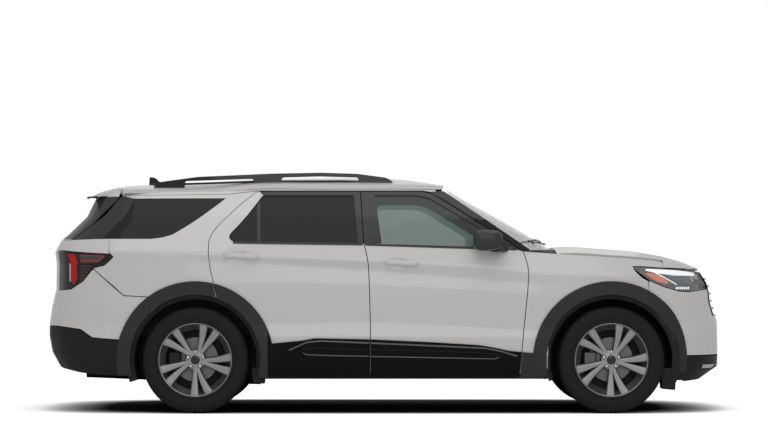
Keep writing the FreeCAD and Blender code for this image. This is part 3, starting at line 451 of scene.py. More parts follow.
# The cone's darker copy of the rim metal and the barrel's near-black are painted shade deep in
# the wheel; the near-black is also the real dark metal of suspension and exhaust.
SHADED_CONE_METAL = metal_finish("cone_metal_painted_shade", (0.27, 0.27, 0.27), 0.38)
DARK_METAL_AND_SHADE = metal_finish("dark_metal_and_barrel_shade", (0.04, 0.04, 0.042), 0.45)
DISC_METAL = metal_finish("disc_metal", (0.20, 0.20, 0.195), 0.34)
RUBBER = grained_finish("rubber", (0.004, 0.004, 0.004), (0.007, 0.007, 0.007), 0.65, 350.0,
                        0.15)
print("finishes", len(bpy.data.materials))

# %% [markdown]
# The body side is one surface. It could be a subdivided cage, but then each shut line would
# pull the form about. A press shop starts from feature lines that run round the car: sill,
# lower crease, shoulder, belt, roof edge. Between two lines the sheet is nearly straight, and
# each line is a soft crease. So the surface is worked out the same way: a ring is a
# superellipse corner joined to a straight side, its half width and its two ends change with
# height through ramps, and averaging over a few millimetres rounds each crease.

# %% Feature lines
# Each line: heights along the car as (x, z), half width, and how far its ends lie inside.
BODY_LINES = [
    ([(0, 0.200)], 0.950, 0.275, 0.200),
    ([(0, 0.330)], 0.978, 0.085, 0.012),
    ([(0, 0.440)], 0.986, 0.025, 0.009),
    ([(0, 0.560)], 0.990, 0.004, 0.012),
    ([(-2.5, 0.640), (-0.718, 0.650), (-0.102, 0.670), (0.697, 0.623), (0.987, 0.600),
      (2.5, 0.660)], 0.976, 0.004, 0.014),
    ([(-2.5, 0.780), (0, 0.820), (2.5, 0.800)], 0.982, 0.024, 0.058),
    ([(-2.5, 0.900), (-0.755, 0.964), (-0.102, 0.949), (0.697, 0.909), (1.059, 0.872),
      (2.5, 0.880)], 0.982, 0.054, 0.066),
    ([(-2.5, 1.090), (-1.446, 1.120), (-0.901, 1.102), (-0.102, 1.044), (0.624, 0.985),
      (1.060, 0.945), (2.5, 0.950)], 0.980, 0.057, 0.084),
    ([(-2.5, 1.180), (-1.439, 1.165), (-0.901, 1.138), (0.116, 1.102), (0.843, 1.052),
      (1.205, 1.015), (2.5, 1.000)], 0.982, 0.046, 0.118),
    ([(-2.5, 1.263), (-1.048, 1.240), (0.153, 1.211), (0.988, 1.170), (1.243, 1.160),
      (1.569, 1.142), (1.934, 1.118), (2.200, 1.080), (2.400, 1.050)], 0.942, 0.090, 0.152),
    ([(0, 1.440)], 0.850, 0.302, 0.900),
    ([(0, 1.632)], 0.706, 0.400, 1.300),
]
SCOOP_LINE = 7
STRAIGHT = 0.9
CORNER_SPAN = 2.4
POWERS = {1: 5.0, -1: 6.0}
SCOOP_DEPTH = 0.018
SCOOP_REACH = (-1.45, 1.15)
CREASE = 0.012
print("feature lines", len(BODY_LINES))

# %% [markdown]
# Three numbers say where the surface is at a height: half the width and the places of both
# ends. A point of it is named by s, which is x along the straight side and grows with the
# angle round a corner, and by its height.


# %% The body surface
def line_height(index, x):
    """Height of one feature line at x: the mean of five readings within 12 cm of it."""
    xs, zs = np.array(BODY_LINES[index][0], float).T
    return sum(np.interp(x + step, xs, zs) for step in (-0.12, -0.06, 0.0, 0.06, 0.12)) / 5


def ring(x, z, inset=0.0):
    """Half width, front end and rear end of the body at (x, z).

    Each is its lowest value plus a ramp per feature line, clipped to that line's band.
    """
    heights = [line_height(i, x) for i in range(len(BODY_LINES))]
    share = np.clip((x - SCOOP_REACH[0]) / (SCOOP_REACH[1] - SCOOP_REACH[0]), 0, 1)
    scoop = SCOOP_DEPTH * np.sin(np.pi * share) ** 0.6
    out = []
    for column in (1, 2, 3):
        values = [line[column] for line in BODY_LINES]
        if column == 1:
            values[SCOOP_LINE] = values[SCOOP_LINE] - scoop
        total = values[0] + 0.0 * x
        for i in range(len(BODY_LINES) - 1):
            rise = heights[i + 1] - heights[i]
            ramp = sum(np.clip((z + step * CREASE - heights[i]) / rise, 0, 1)
                       for step in (-1, -0.5, 0, 0.5, 1)) / 5
            total = total + (values[i + 1] - values[i]) * ramp
        out.append(total)
    half, rear, front = out
    return half - inset, NOSE - front - inset, TAIL + rear + inset


def along(s, front=2.45, rear=-2.45):
    """x of the ring parameter s, and there the share of the half width.

    On the straight side s is x itself. Round a corner an angle t grows with s, and the point
    r·(sin t, cos t) lies on the superellipse |x|^p + |y|^p = 1.
    """
    turn = np.clip((np.abs(s) - STRAIGHT) / CORNER_SPAN, 0, 1) * np.pi / 2
    power = np.where(s > 0, POWERS[1], POWERS[-1])
    reach = (np.cos(turn) ** power + np.sin(turn) ** power) ** (-1 / power)
    end = np.where(s > 0, front - STRAIGHT, rear + STRAIGHT)
    corner = np.sign(s) * STRAIGHT + end * reach * np.sin(turn)
    return np.where(np.abs(s) < STRAIGHT, s, corner), reach * np.cos(turn)


def body(s, z, inset=0.0):
    """Points of the right-hand body surface at ring parameter s and height z."""
    s, z = np.broadcast_arrays(np.asarray(s, float), np.asarray(z, float))
    rough, _ = along(s)
    half, front, rear = ring(rough, z, inset)
    x, width = along(s, front, rear)
    return np.stack([x, -half * np.where(np.abs(s) < STRAIGHT, 1.0, width), z], -1)


print("half width at the doors", round(float(ring(np.array(0.0), np.array(0.8))[0]), 3))

# %% [markdown]
# Shut lines are drawn as seen from the side and the grille as seen from ahead, so there are
# two ways back to s. Shrinkwrap could push points onto a surface, but solving the same
# superellipse for its angle is exact.


# %% Places from the side and from ahead
def s_of(x, z):
    """Ring parameter of the surface point seen at (x, z) from the side.

    Round a corner t = atan2(q, (1 - q^p)^(1/p)), where q is the share of the way to the end.
    """
    x, z = np.asarray(x, float), np.asarray(z, float)
    _, front, rear = ring(x, z)
    end = np.where(x > 0, front - STRAIGHT, rear + STRAIGHT)
    share = np.clip((x - np.sign(x) * STRAIGHT) / end, 0, 1)
    power = np.where(x > 0, POWERS[1], POWERS[-1])
    turn = np.arctan2(share, (1 - share ** power) ** (1 / power))
    corner = np.sign(x) * (STRAIGHT + CORNER_SPAN * turn / (np.pi / 2))
    return np.where(np.abs(x) < STRAIGHT, x, corner)


def s_at(y, z, end):
    """Ring parameter where the surface is y from the middle, at the front or rear end.

    t = atan2((1 - w^p)^(1/p), w), where w is y over the half width.
    """
    y, z = np.broadcast_arrays(np.abs(np.asarray(y, float)), np.asarray(z, float))
    half, _, _ = ring(np.full_like(z, end * 2.4), z)
    width = np.clip(y / half, 0, 1)
    power = POWERS[end]
    turn = np.arctan2((1 - width ** power) ** (1 / power), width)
    return end * (STRAIGHT + CORNER_SPAN * turn / (np.pi / 2))


MIDDLE = STRAIGHT + CORNER_SPAN
print("the middle of the nose is at s =", MIDDLE)

# %% [markdown]
# A panel is a patch of that surface with four curved edges. They are drawn in side view, as
# the shut lines are on the real car. Bezier curves would do, but they need handles, and a
# line of measured points is smooth enough at this spacing.


# %% Edges in side view
def resample(points, count):
    """Evenly spaced points along a polyline, by its own length."""
    points = np.array(points, float)
    length = np.r_[0, np.cumsum(np.linalg.norm(np.diff(points, axis=0), axis=1))]
    even = np.linspace(0, length[-1], count)
    return np.stack([np.interp(even, length, column) for column in points.T], -1)


def arc(centre, radius, start, end, count=24):
    """Points of a circle in side view, from one angle to another, in degrees."""
    angle = np.radians(np.linspace(start, end, count))
    return [(centre[0] + radius * c, centre[1] + radius * s)
            for c, s in zip(np.cos(angle), np.sin(angle))]


def side_curve(points):
    """Side-view points (x, z) as surface places (s, z)."""
    points = np.array(points, float)
    return np.stack([s_of(points[:, 0], points[:, 1]), points[:, 1]], -1)


print("a quarter of a circle has", len(arc((0, 0), 1.0, 0, 90)), "points")

# %% [markdown]
# A Coons patch fills four edges: it adds the blend of the two upright edges to the blend of
# the two level ones and takes away the blend of the corners, which was counted twice. Grid
# Fill does much the same by hand. A window's frame needs less, a strip between two curves.


# %% Filling edges
def coons(left, right, bottom=None, top=None, spacing=0.014):
    """A grid that fills four edges, given as (s, z) curves from low to high or left to right.

    point(u, v) = (1-v)·bottom(u) + v·top(u) + (1-u)·left(v) + u·right(v) - corners(u, v)
    """
    left, right = np.array(left, float), np.array(right, float)
    bottom = np.array([left[0], right[0]]) if bottom is None else np.array(bottom, float)
    top = np.array([left[-1], right[-1]]) if top is None else np.array(top, float)

    def run(curve):
        """Length of a curve."""
        return np.linalg.norm(np.diff(curve, axis=0), axis=1).sum()

    rows = max(4, int(max(run(left), run(right)) / spacing))
    columns = max(4, int(max(run(bottom), run(top)) / spacing))
    left, right = resample(left, rows), resample(right, rows)
    bottom, top = resample(bottom, columns), resample(top, columns)
    v = np.linspace(0, 1, rows)[:, None, None]
    u = np.linspace(0, 1, columns)[None, :, None]
    corners = ((1 - v) * ((1 - u) * bottom[0] + u * bottom[-1])
               + v * ((1 - u) * top[0] + u * top[-1]))
    return ((1 - v) * bottom[None] + v * top[None] + (1 - u) * left[:, None]
            + u * right[:, None] - corners)


def strip(outer, inner, rows=5, spacing=0.02):
    """A grid between two curves made of matching stretches, such as a window's frame."""
    grids = []
    for first, second in zip(outer, inner):
        length = np.linalg.norm(np.diff(np.array(first, float), axis=0), axis=1).sum()
        count = max(3, int(length / spacing))
        a, b = resample(first, count), resample(second, count)
        v = np.linspace(0, 1, rows)[:, None, None]
        grids.append((1 - v) * a[None] + v * b[None])
    return grids


print("a patch of 0.1 m has", coons([(0, 0), (0, 0.1)], [(0.1, 0), (0.1, 0.1)]).shape[:2],
      "places")

# %% [markdown]
# A sheet has an outer face on the body surface and an inner face a few millimetres in. Both
# come from one formula with another inset, so a door, a lamp's lens and a strip of trim all
# follow the same form, and no gap between two layers changes along the car.


# %% Sheets on the surface
def panel(piece, places, side, depth=0.02, inset=0.0, material=0, inside=1, dent=None):
    """Adds a closed sheet of the body surface over a grid of (s, z) places.

    dent(s, z) is how far the outer face is pressed in at a place.
    """
    pressed = 0.0 if dent is None else dent(places[..., 0], places[..., 1])
    outer = body(places[..., 0], places[..., 1], inset + pressed)
    inner = body(places[..., 0], places[..., 1], inset + depth)
    piece.shell(flip(outer, side), flip(inner, side), material, inside)


def patch(piece, left, right, side, inset, depth, material=0, bottom=None, top=None,
          spacing=0.014):
    """Adds a sheet whose edges are drawn in side view, a little proud or sunk."""
    edges = [side_curve(edge) if edge else None for edge in (left, right, bottom, top)]
    panel(piece, coons(*edges, spacing), side, depth, inset, material, material)


# %% [markdown]
# The shut lines come next, drawn once. They could be cut with booleans, which leave ragged
# edges on a curved sheet. Instead neighbours share a line, and each stops a few millimetres
# short of it, which leaves the dark joint that shows on any car.

# %% Shut lines, in side view
GAP = 0.003
SILL = 0.296
DOOR_TOP = 1.624
ARCH_EDGE = 0.480
FRONT_CUT = [(0.983, SILL), (1.012, 0.572), (1.034, 0.790), (1.045, 0.900), (1.049, 0.971),
             (1.051, 1.029), (1.043, 1.085), (1.031, 1.124), (1.013, 1.178)]
SPLIT_CUT = [(-0.104, SILL), (-0.098, 0.608), (-0.105, 0.898), (-0.113, 1.080),
             (-0.127, 1.160), (-0.147, 1.234)]
SPLIT_TOP = [(-0.147, 1.234), (-0.173, DOOR_TOP)]
REAR_CUT = [(-1.229, 0.898), (-1.255, 1.015), (-1.269, 1.095), (-1.275, 1.150),
            (-1.277, 1.200), (-1.275, 1.250)]
REAR_CUT_TOP = [(-1.275, 1.250), (-1.262, 1.290), (-1.241, 1.328), (-1.205, 1.375),
                (-1.163, 1.417), (-1.057, 1.521), (-0.957, 1.603), (-0.920, DOOR_TOP)]
PILLAR_CUT = [(0.285, DOOR_TOP), (0.360, 1.600), (0.430, 1.560), (1.013, 1.178)]
FRONT_WINDOW = {"split": [(-0.035, 1.236), (-0.070, 1.592)],
                "top": [(-0.070, 1.592), (0.240, 1.592)],
                "front": [(0.240, 1.592), (0.330, 1.572), (0.400, 1.532), (0.933, 1.205)],
                "sill": [(-0.035, 1.236), (0.480, 1.216), (0.933, 1.205)]}
REAR_WINDOW = {"rear": [(-1.098, 1.250), (-1.120, 1.262), (-1.130, 1.282), (-1.122, 1.308),
                        (-0.906, 1.572), (-0.886, 1.592)],
               "top": [(-0.886, 1.592), (-0.222, 1.592)],
               "split": [(-0.222, 1.592), (-0.190, 1.238)],
               "sill": [(-1.098, 1.250), (-0.872, 1.246), (-0.190, 1.238)]}
QUARTER_WINDOW = {"rear": [(-2.058, 1.270), (-1.832, 1.569)],
                  "front": [(-1.540, 1.302), (-1.318, 1.447), (-1.160, 1.571)],
                  "sill": [(-2.058, 1.270), (-1.690, 1.270), (-1.610, 1.281), (-1.540, 1.302)],
                  "top": [(-1.832, 1.569), (-1.160, 1.571)]}


def shifted(points, dx=0.0, dz=0.0):
    """A side-view line moved aside by a part of the gap."""
    return [(x + dx, z + dz) for x, z in points]


print("joints are", 2 * GAP, "m wide")

# %% [markdown]
# Doors first: each is a lower sheet, a frame round its window and a pane of glass. The lower
# sheet is one patch. The frame is a strip between the window's edge and the door's edge, in
# body colour behind the rear window and gloss black elsewhere. A smooth hollow behind each
# handle leaves room for fingers.

# %% Door measures and the handles' hollows
DOOR_DEPTH = 0.046
DOOR_GRID = 0.0125
PRESSED_EDGE = 0.0018
GLASS_INSET, GLASS_DEPTH = 0.012, 0.005
rear_arch_side = arc((REAR_AXLE, AXLE_HEIGHT), ARCH_EDGE, -11.3, 70.8, 20)
CUP_DEPTH = 0.012
HANDLES = {"front": (0.127, 1.096, -0.008), "rear": (-1.032, 1.146, -0.006)}


def cup(end):
    """The hollow behind a handle: exp of minus the fourth power of an ellipse's radius."""
    x, z, rise = HANDLES[end]
    return lambda s, height: CUP_DEPTH * np.exp(
        -(((s - x + 0.03) / 0.072) ** 2
          + ((height - z - rise * (s - x)) / 0.036) ** 2) ** 2)


print("doors are", DOOR_DEPTH, "m deep and their hollows", CUP_DEPTH)

# %% [markdown]
# The front door's sheet runs from the middle pillar's cut to the fender's. Its frame has
# three stretches, because under the glass the sheet itself is the fourth.


# %% Front door
def front_door(side_name, side):
    """Front door panel with its window frame."""
    door = Piece("door_front_" + side_name)
    left = side_curve(shifted(SPLIT_CUT, GAP))
    right = side_curve(shifted(FRONT_CUT, -GAP))
    top = side_curve([(-0.144, 1.234), (-0.035, 1.236), (0.480, 1.216), (0.933, 1.205),
                      (1.010, 1.178)])
    panel(door, coons(left, right, None, top, DOOR_GRID), side, DOOR_DEPTH, dent=cup("front"))
    outer = [side_curve(shifted(SPLIT_TOP, GAP)),
             side_curve([(-0.170, DOOR_TOP - GAP), (0.285, DOOR_TOP - GAP)]),
             side_curve(shifted(PILLAR_CUT, -GAP, -GAP))]
    inner = [side_curve(FRONT_WINDOW[k]) for k in ("split", "top", "front")]
    for grid in strip(outer, inner):
        panel(door, grid, side, DOOR_DEPTH - 0.003, 0.003, 2)
    door.make("front_door_" + side_name, "body_paint", [PAINT, CABIN, FRAME_BLACK],
              ["front_door_" + side_name], bevel=PRESSED_EDGE)


# %% [markdown]
# The rear door's sheet also bends round the wheel arch, so its rear edge is first a part of
# the wheel's circle and then the cut to the quarter.


# %% Rear door
def rear_door(side_name, side):
    """Rear door panel, which bends round the wheel arch at its back."""
    door = Piece("door_rear_" + side_name)
    left = side_curve(rear_arch_side + shifted(REAR_CUT, GAP))
    right = side_curve(shifted(SPLIT_CUT, -GAP))
    top = side_curve([(-1.272, 1.250), (-1.098, 1.250), (-0.872, 1.246), (-0.190, 1.238),
                      (-0.150, 1.234)])
    panel(door, coons(left, right, None, top, DOOR_GRID), side, DOOR_DEPTH, dent=cup("rear"))
    outer = [side_curve(shifted(REAR_CUT_TOP, GAP)),
             side_curve([(-0.917, DOOR_TOP - GAP), (-0.176, DOOR_TOP - GAP)]),
             side_curve(shifted(SPLIT_TOP[::-1], -GAP))]
    inner = [side_curve(REAR_WINDOW[k]) for k in ("rear", "top", "split")]
    for grid, colour in zip(strip(outer, inner), (0, 2, 2)):
        sunk = 0.0 if colour == 0 else 0.003
        panel(door, grid, side, DOOR_DEPTH - sunk, sunk, colour)
    door.make("rear_door_" + side_name, "body_paint", [PAINT, CABIN, FRAME_BLACK],
              ["rear_door_" + side_name], bevel=PRESSED_EDGE)


# %% [markdown]
# A pane is a sheet 5 mm thick, 12 mm inside the body surface. A flat one would be easier, but
# real side glass is curved, so that it slides down inside the curved door.


# %% Panes
def pane(name, left, right, bottom, top, side, where, node, finish, slot):
    """A window pane that follows the body, a little inside its frame."""
    glass = Piece(name)
    grid = coons(side_curve(left), side_curve(right), side_curve(bottom), side_curve(top), 0.03)
    panel(glass, grid, side, GLASS_DEPTH, GLASS_INSET, 0, 0)
    glass.make(where, slot, [finish], [node])


# %% [markdown]
# A front pane has a black band round its edge: painted shade, where the dark lining and the far
# roof rail would show through the glass. It is a sheet a millimetre thick on the glass, because
# a band in the glass's own material would need a map of where it runs.

# %% Painted shade bands, doors and panes in place
SHADE_BAND_DOOR = [(-0.017, 1.236), (-0.053, 1.490), (-0.046, 1.511), (-0.024, 1.522)]
SHADE_BAND_TOP = [(-0.024, 1.522), (0.200, 1.522), (0.258, 1.518)]
SHADE_BAND_FRONT = [(0.258, 1.518), (0.327, 1.493), (0.552, 1.356), (0.790, 1.205)]


def painted_shade_band(side_name, side):
    """The black band on the front pane, inside its frame: painted shade for the dark cabin
    behind.
    """
    band = Piece("window_band_" + side_name)
    outer = [side_curve(FRONT_WINDOW[k]) for k in ("split", "top", "front")]
    inner = [side_curve(k) for k in (SHADE_BAND_DOOR, SHADE_BAND_TOP, SHADE_BAND_FRONT)]
    for grid in strip(outer, inner):
        panel(band, grid, side, 0.001, GLASS_INSET - 0.0012, 0, 0)
    band.make("front_door_" + side_name, "black_trim", [FRAME_BLACK])


for side_name, side in SIDES.items():
    painted_shade_band(side_name, side)
    front_door(side_name, side)
    rear_door(side_name, side)
    window = FRONT_WINDOW
    pane("glass_front_" + side_name, window["split"], [(0.933, 1.205), (0.400, 1.532)],
         window["sill"], window["top"] + window["front"][1:3], side,
         "front_door_" + side_name, "front_glass_" + side_name, CLEAR_GLASS, "clear_glass")
    window = REAR_WINDOW
    pane("glass_rear_" + side_name, window["rear"], window["split"][::-1],
         window["sill"], window["top"], side,
         "rear_door_" + side_name, "rear_glass_" + side_name, DARK_GLASS, "tinted_glass")

# %% [markdown]
# A fender has one edge on the wheel's circle and runs on over the headlamp as a narrow
# tongue. On the real car it is one pressing. A single patch would bunch up where the tongue
# starts, so the tongue is a patch of its own that follows the same surface.

# %% Fenders
PANEL_DEPTH = 0.018
front_arch_rear = arc((FRONT_AXLE, AXLE_HEIGHT), ARCH_EDGE, 191.3, 55.8, 40)
FENDER_FRONT = [(1.9235, 0.790), (1.9235, 0.961), (1.880, 0.986), (1.8445, 1.018),
                (1.822, 1.045), (1.8105, 1.068)]
BELT_AHEAD = [(1.013, 1.176), (1.243, 1.160), (1.569, 1.142), (1.8105, 1.126)]


def fender(piece, side):
    """Front fender: door cut behind, wheel arch below, lamp and bumper ahead."""
    rear = side_curve(shifted(FRONT_CUT, GAP))
    low = side_curve([(0.986, SILL)] + front_arch_rear)
    front = side_curve(shifted(FENDER_FRONT, -GAP) + [(1.8105, 1.126)])
    panel(piece, coons(rear, front, low, side_curve(BELT_AHEAD)), side, PANEL_DEPTH)
    patch(piece, [(1.8105, 1.072), (1.8105, 1.124)], [(2.395, 1.041), (2.395, 1.047)], side, 0.0,
          PANEL_DEPTH, 0, [(1.8105, 1.072), (1.8615, 1.0725), (2.0445, 1.0600), (2.395, 1.041)],
          [(1.8105, 1.124), (1.934, 1.115), (2.200, 1.077), (2.395, 1.047)])


# %% [markdown]
# The quarter is the largest sheet of the side: it runs from the rear door to the tail lamp
# and up round the last window. So it takes several patches that share their edges.

# %% Quarters
QUARTER_BOTTOM = arc((REAR_AXLE, AXLE_HEIGHT), ARCH_EDGE, 134.9, 70.8, 30)
BUMPER_CUT = [(-2.1185, 1.056), (-1.9175, 0.882), (-1.8875, 0.860), (-1.712, 0.850),
              (-1.712, 0.731)]
LAMP_TIP = [(-2.1185, 1.056), (-2.0365, 1.074), (-1.9665, 1.140), (-1.9935, 1.163),
            (-2.000, 1.263)]


def quarter(piece, side):
    """Rear quarter: main sheet, strip over the lamp, and the surround of the window."""
    low = side_curve(BUMPER_CUT[:-1] + QUARTER_BOTTOM)
    front = side_curve([QUARTER_BOTTOM[-1]] + shifted(REAR_CUT, -GAP))
    rear = side_curve(shifted(LAMP_TIP, GAP))
    top = side_curve([(-2.000, 1.263), (-1.278, 1.250)])
    panel(piece, coons(rear, front, low, top), side, PANEL_DEPTH)
    gate_low, gate_high = s_at(0.704, 1.19, -1), s_at(0.704, 1.262, -1)
    above = coons([(gate_low, 1.193), (gate_high, 1.262)],
                  [(s_of(-2.000, 1.170), 1.163), (s_of(-2.000, 1.263), 1.263)],
                  [(gate_low, 1.193), (s_of(-2.3685, 1.186), 1.187), (s_of(-2.0, 1.163), 1.163)],
                  [(gate_high, 1.262), (s_of(-2.3095, 1.263), 1.263),
                   (s_of(-2.0, 1.263), 1.263)])
    panel(piece, above, side, PANEL_DEPTH)
    outer = [side_curve([(-2.3095, 1.263), (-2.000, 1.263), (-1.278, 1.250)]),
             side_curve(shifted(REAR_CUT_TOP, -GAP)),
             side_curve([(-0.923, DOOR_TOP), (-1.140, 1.600), (-1.9245, 1.590)]),
             side_curve([(-1.9245, 1.590), (-1.9525, 1.562), (-2.1405, 1.373),
                         (-2.3095, 1.263)])]
    window = QUARTER_WINDOW
    inner = [side_curve(window["sill"]), side_curve(window["front"]),
             side_curve(window["top"][::-1]), side_curve(window["rear"][::-1])]
    for grid, colour in zip(strip(outer, inner, 8), (0, 0, 0, 2)):
        panel(piece, grid, side, PANEL_DEPTH, 0.0 if colour == 0 else 0.002, colour)


for build, name, nodes in ((fender, "fenders", ["fenders"]),
                           (quarter, "quarters", ["quarter_panels"])):
    piece = Piece(name)
    for side in SIDES.values():
        build(piece, side)
    piece.make("body", "body_paint", [PAINT, INNER, FRAME_BLACK], nodes, bevel=PRESSED_EDGE)

# %% [markdown]
# The quarter's window doesn't open. It is glued in, so it lies nearly flush, 4 mm inside.

# %% Quarter glass
piece = Piece("glass_quarter")
for side in SIDES.values():
    window = QUARTER_WINDOW
    grid = coons(side_curve(window["rear"]), side_curve(window["front"]),
                 side_curve(window["sill"]), side_curve(window["top"]), 0.03)
    panel(piece, grid, side, GLASS_DEPTH, 0.004, 0, 0)
piece.make("body", "tinted_glass", [DARK_GLASS], ["quarter_glass"])

# %% [markdown]
# Two strips close what the eye would look through: a painted rail over the windows, up to the
# roof's edge, and a black one behind the joint of the front pillar.

# %% Rail and pillar strips
piece = Piece("roof_side_rail")
for side in SIDES.values():
    patch(piece, [(-1.925, 1.592), (-1.925, 1.614)], [(0.380, 1.612), (0.380, 1.646)], side,
          0.0005, 0.012, 0, [(-1.925, 1.592), (-1.140, 1.603), (-0.925, 1.628), (0.285, 1.628),
                             (0.380, 1.612)],
          [(-1.925, 1.614), (-1.180, 1.622), (-1.000, 1.650), (0.380, 1.646)])
    patch(piece, [(0.270, 1.606), (0.300, 1.636)], [(0.985, 1.170), (1.030, 1.192)], side,
          0.014, 0.006, 1, [(0.270, 1.606), (0.345, 1.588), (0.415, 1.546), (0.985, 1.170)],
          [(0.300, 1.636), (0.375, 1.614), (0.447, 1.574), (1.030, 1.192)])
piece.make("body", "body_paint", [PAINT, FRAME_BLACK], bevel=0.0012)

# %% [markdown]
# Hood, roof, tailgate and bumpers are deep pressings with many cuts, and the model already
# holds their form. A copy of a node's sheet is merged and shaded smooth except at its creases.
# The node's own mesh is left alone, because it is loose triangles that the frame checks. Each
# triangle takes its finish from where it lies: paint outside, dark sealed metal inside.


# %% Finishes by place
END_ZONE = 1.9
ARCH_END = -0.845


def facing_in(middles, normals):
    """1 for triangles that look towards the middle of the car, 0 for the others.

    Between both ends the way to the middle is measured in the car's cross-section alone.
    """
    reach = np.array([0.0, 0.0, 0.75]) - middles
    reach[:, 0] *= np.abs(middles[:, 0]) > END_ZONE
    reach /= np.linalg.norm(reach, axis=1, keepdims=True)
    return (np.einsum("ij,ij->i", reach, normals) > 0.35).astype(int)


def dressed(node, name, slot, materials, choose=None, where="body", sharp=32.0, cuts=(),
            shape=None):
    """A merged copy of one node in place of it, with its own finishes."""
    piece = Piece(name).copy(node, choose, cuts, shape)
    piece.make(where, slot, materials, [node], sharp, even=True)


def roof_choice(middles, normals):
    """The roof is lined with cloth underneath."""
    return (normals[:, 2] < -0.2).astype(int)


def gate_choice(middles, normals):
    """Paint outside, trim inside, and gloss black round the glass and under the spoiler."""
    chosen = facing_in(middles, normals)
    x, z = middles[:, 0], middles[:, 2]
    under = (z > 1.56) & (normals[:, 2] < -0.1)
    frame_zone = (z > 1.268) & (z < 1.585) & (chosen == 0)
    return np.where(under | frame_zone, 2, chosen)


def sill_choice(middles, normals):
    """The rear door cladding's part on the arch is as pale as the arch; the rest has painted
    shade.
    """
    return (middles[:, 0] < ARCH_END).astype(int)


LINING = grained_finish("roof_lining", (0.035, 0.035, 0.037), (0.05, 0.05, 0.052), 0.85, 1200.0)
dressed("hood", "hood_skin", "body_paint", [PAINT, INNER], facing_in, "hood")

# %% [markdown]
# Three forms are moved a little on the copies. Proportional editing would do that by hand;
# here each is a share that grows smoothly from where the change starts.


# %% Shapes that are eased
def shorter_spoiler(points):
    """Draws the spoiler's tip ahead and down, more so at its corners.

    x grows by s·(42 + 22·a²) mm and z falls by s·(16 + 10·a²) mm, where s is the share of the
    way from x = -2.00 to -2.21 and a the distance from the middle over 0.64 m.
    """
    share = np.clip((-2.0 - points[:, 0]) / 0.21, 0, 1) * (points[:, 2] > 1.595)
    aside = (np.abs(points[:, 1]) / 0.64) ** 2
    moved = points.copy()
    moved[:, 0] += share * (0.042 + 0.022 * aside)
    moved[:, 2] -= share * (0.016 + 0.010 * aside)
    return moved


def drooped_roof(points):
    """Lets the front corners of the roof fall towards the windscreen's frame.

    With s = ((x - 0.10) / 0.34)² and a = (|y| - 0.30) / 0.40, z falls by 6·s·a mm and x by
    8·s·a² mm.
    """
    share = np.clip((points[:, 0] - 0.10) / 0.34, 0, 1) ** 2
    aside = np.clip((np.abs(points[:, 1]) - 0.30) / 0.40, 0, 1)
    moved = points.copy()
    moved[:, 2] -= 0.006 * share * aside
    moved[:, 0] -= 0.008 * share * aside ** 2
    return moved


def raised_tail_pipe(points):
    """Lifts the last stretch of the exhaust behind the bumper.

    z grows by 55 mm times the share of the way from x = -1.86 to -1.98.
    """
    share = np.clip((-1.86 - points[:, 0]) / 0.12, 0, 1)
    moved = points.copy()
    moved[:, 2] += 0.055 * share
    return moved


GATE_CUTS = [((0, 0, z), (0, 0, 1)) for z in (1.268, 1.585, 1.56)]
dressed("tailgate", "tailgate_skin", "body_paint", [PAINT, CABIN, FRAME_BLACK], gate_choice,
        "tailgate", cuts=GATE_CUTS, shape=shorter_spoiler)
dressed("roof_panel", "roof_skin", "body_paint", [PAINT, LINING], roof_choice,
        shape=drooped_roof)

# %% [markdown]
# The other sheets, mouldings and panes keep the model's form as it is, so one table names
# each node, its piece, its slot and its finishes.

# %% Sheets and mouldings that keep the model's form
for node, name, slot, materials, choose, where in (
        ("front_bumper", "bumper_front", "body_paint", [PAINT, INNER], facing_in, "body"),
        ("rear_bumper", "bumper_rear", "body_paint", [PAINT, INNER], facing_in, "body"),
        ("front_bumper_lower", "bumper_front_lower", "cladding_plastic", [LOWER_BLACK_AND_SHADE], None, "body"),
        ("rear_bumper_lower", "bumper_rear_lower", "cladding_plastic", [LOWER_BLACK_AND_SHADE], None, "body"),
        ("a_pillars", "pillar_covers", "black_trim", [BLACK, CABIN], facing_in, "body"),
        ("cowl", "cowl_cover", "cladding_plastic", [LOWER_BLACK_AND_SHADE], None, "body"),
        ("arch_cladding", "arch_mouldings", "cladding_plastic", [CLADDING], None, "body"),
        ("roof_rails", "rails", "black_trim", [BLACK], None, "body"),
        ("windscreen", "screen_pane", "clear_glass", [SCREEN_GLASS], None, "body"),
        ("tailgate_glass", "gate_pane", "tinted_glass", [DARK_GLASS], None, "tailgate")):
    dressed(node, name, slot, materials, choose, where)
dressed("exhaust", "exhaust_line", "cast_metal", [DARK_METAL_AND_SHADE], shape=raised_tail_pipe)
dressed("dashboard", "dash", "cabin_plastic", [CABIN])
# Door claddings ahead of the arch take the darker copy of the plastic: painted shade.
for side_name in SIDES:
    for end in ("front", "rear"):
        tail = "%s_%s" % (end, side_name)
        dressed("%s_door_cladding_%s" % (end, side_name), "door_cladding_" + tail,
                "cladding_plastic", [SHADED_SILL_BLACK, CLADDING], sill_choice,
                "%s_door_%s" % (end, side_name), cuts=[((ARCH_END, 0, 0), (1, 0, 0))])

# %% [markdown]
# Structure that shows only through the glass, in the wheel arches or from below keeps the
# model's own mesh. It gets its finish through the object's material slots.

# %% Finishes for the carried-over nodes
CALIPER_METAL = metal_finish("caliper_metal", (0.16, 0.16, 0.16), 0.40)
BLOCK_METAL = metal_finish("cast_block", (0.22, 0.22, 0.22), 0.5, 90.0)
for nodes, finish in (
        (("body_frame", "roof_bows"), INNER), (("floor_pan", "front_frame"), LOWER_BLACK_AND_SHADE),
        (("engine",), BLOCK_METAL),
        (("front_suspension", "rear_suspension"), DARK_METAL_AND_SHADE),
        (("knuckle_right", "knuckle_left"), CALIPER_METAL)):
    for node in nodes:
        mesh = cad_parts[node].data
        mesh.materials.clear()
        mesh.materials.append(finish)
        print(node, "keeps its mesh in", finish.name)

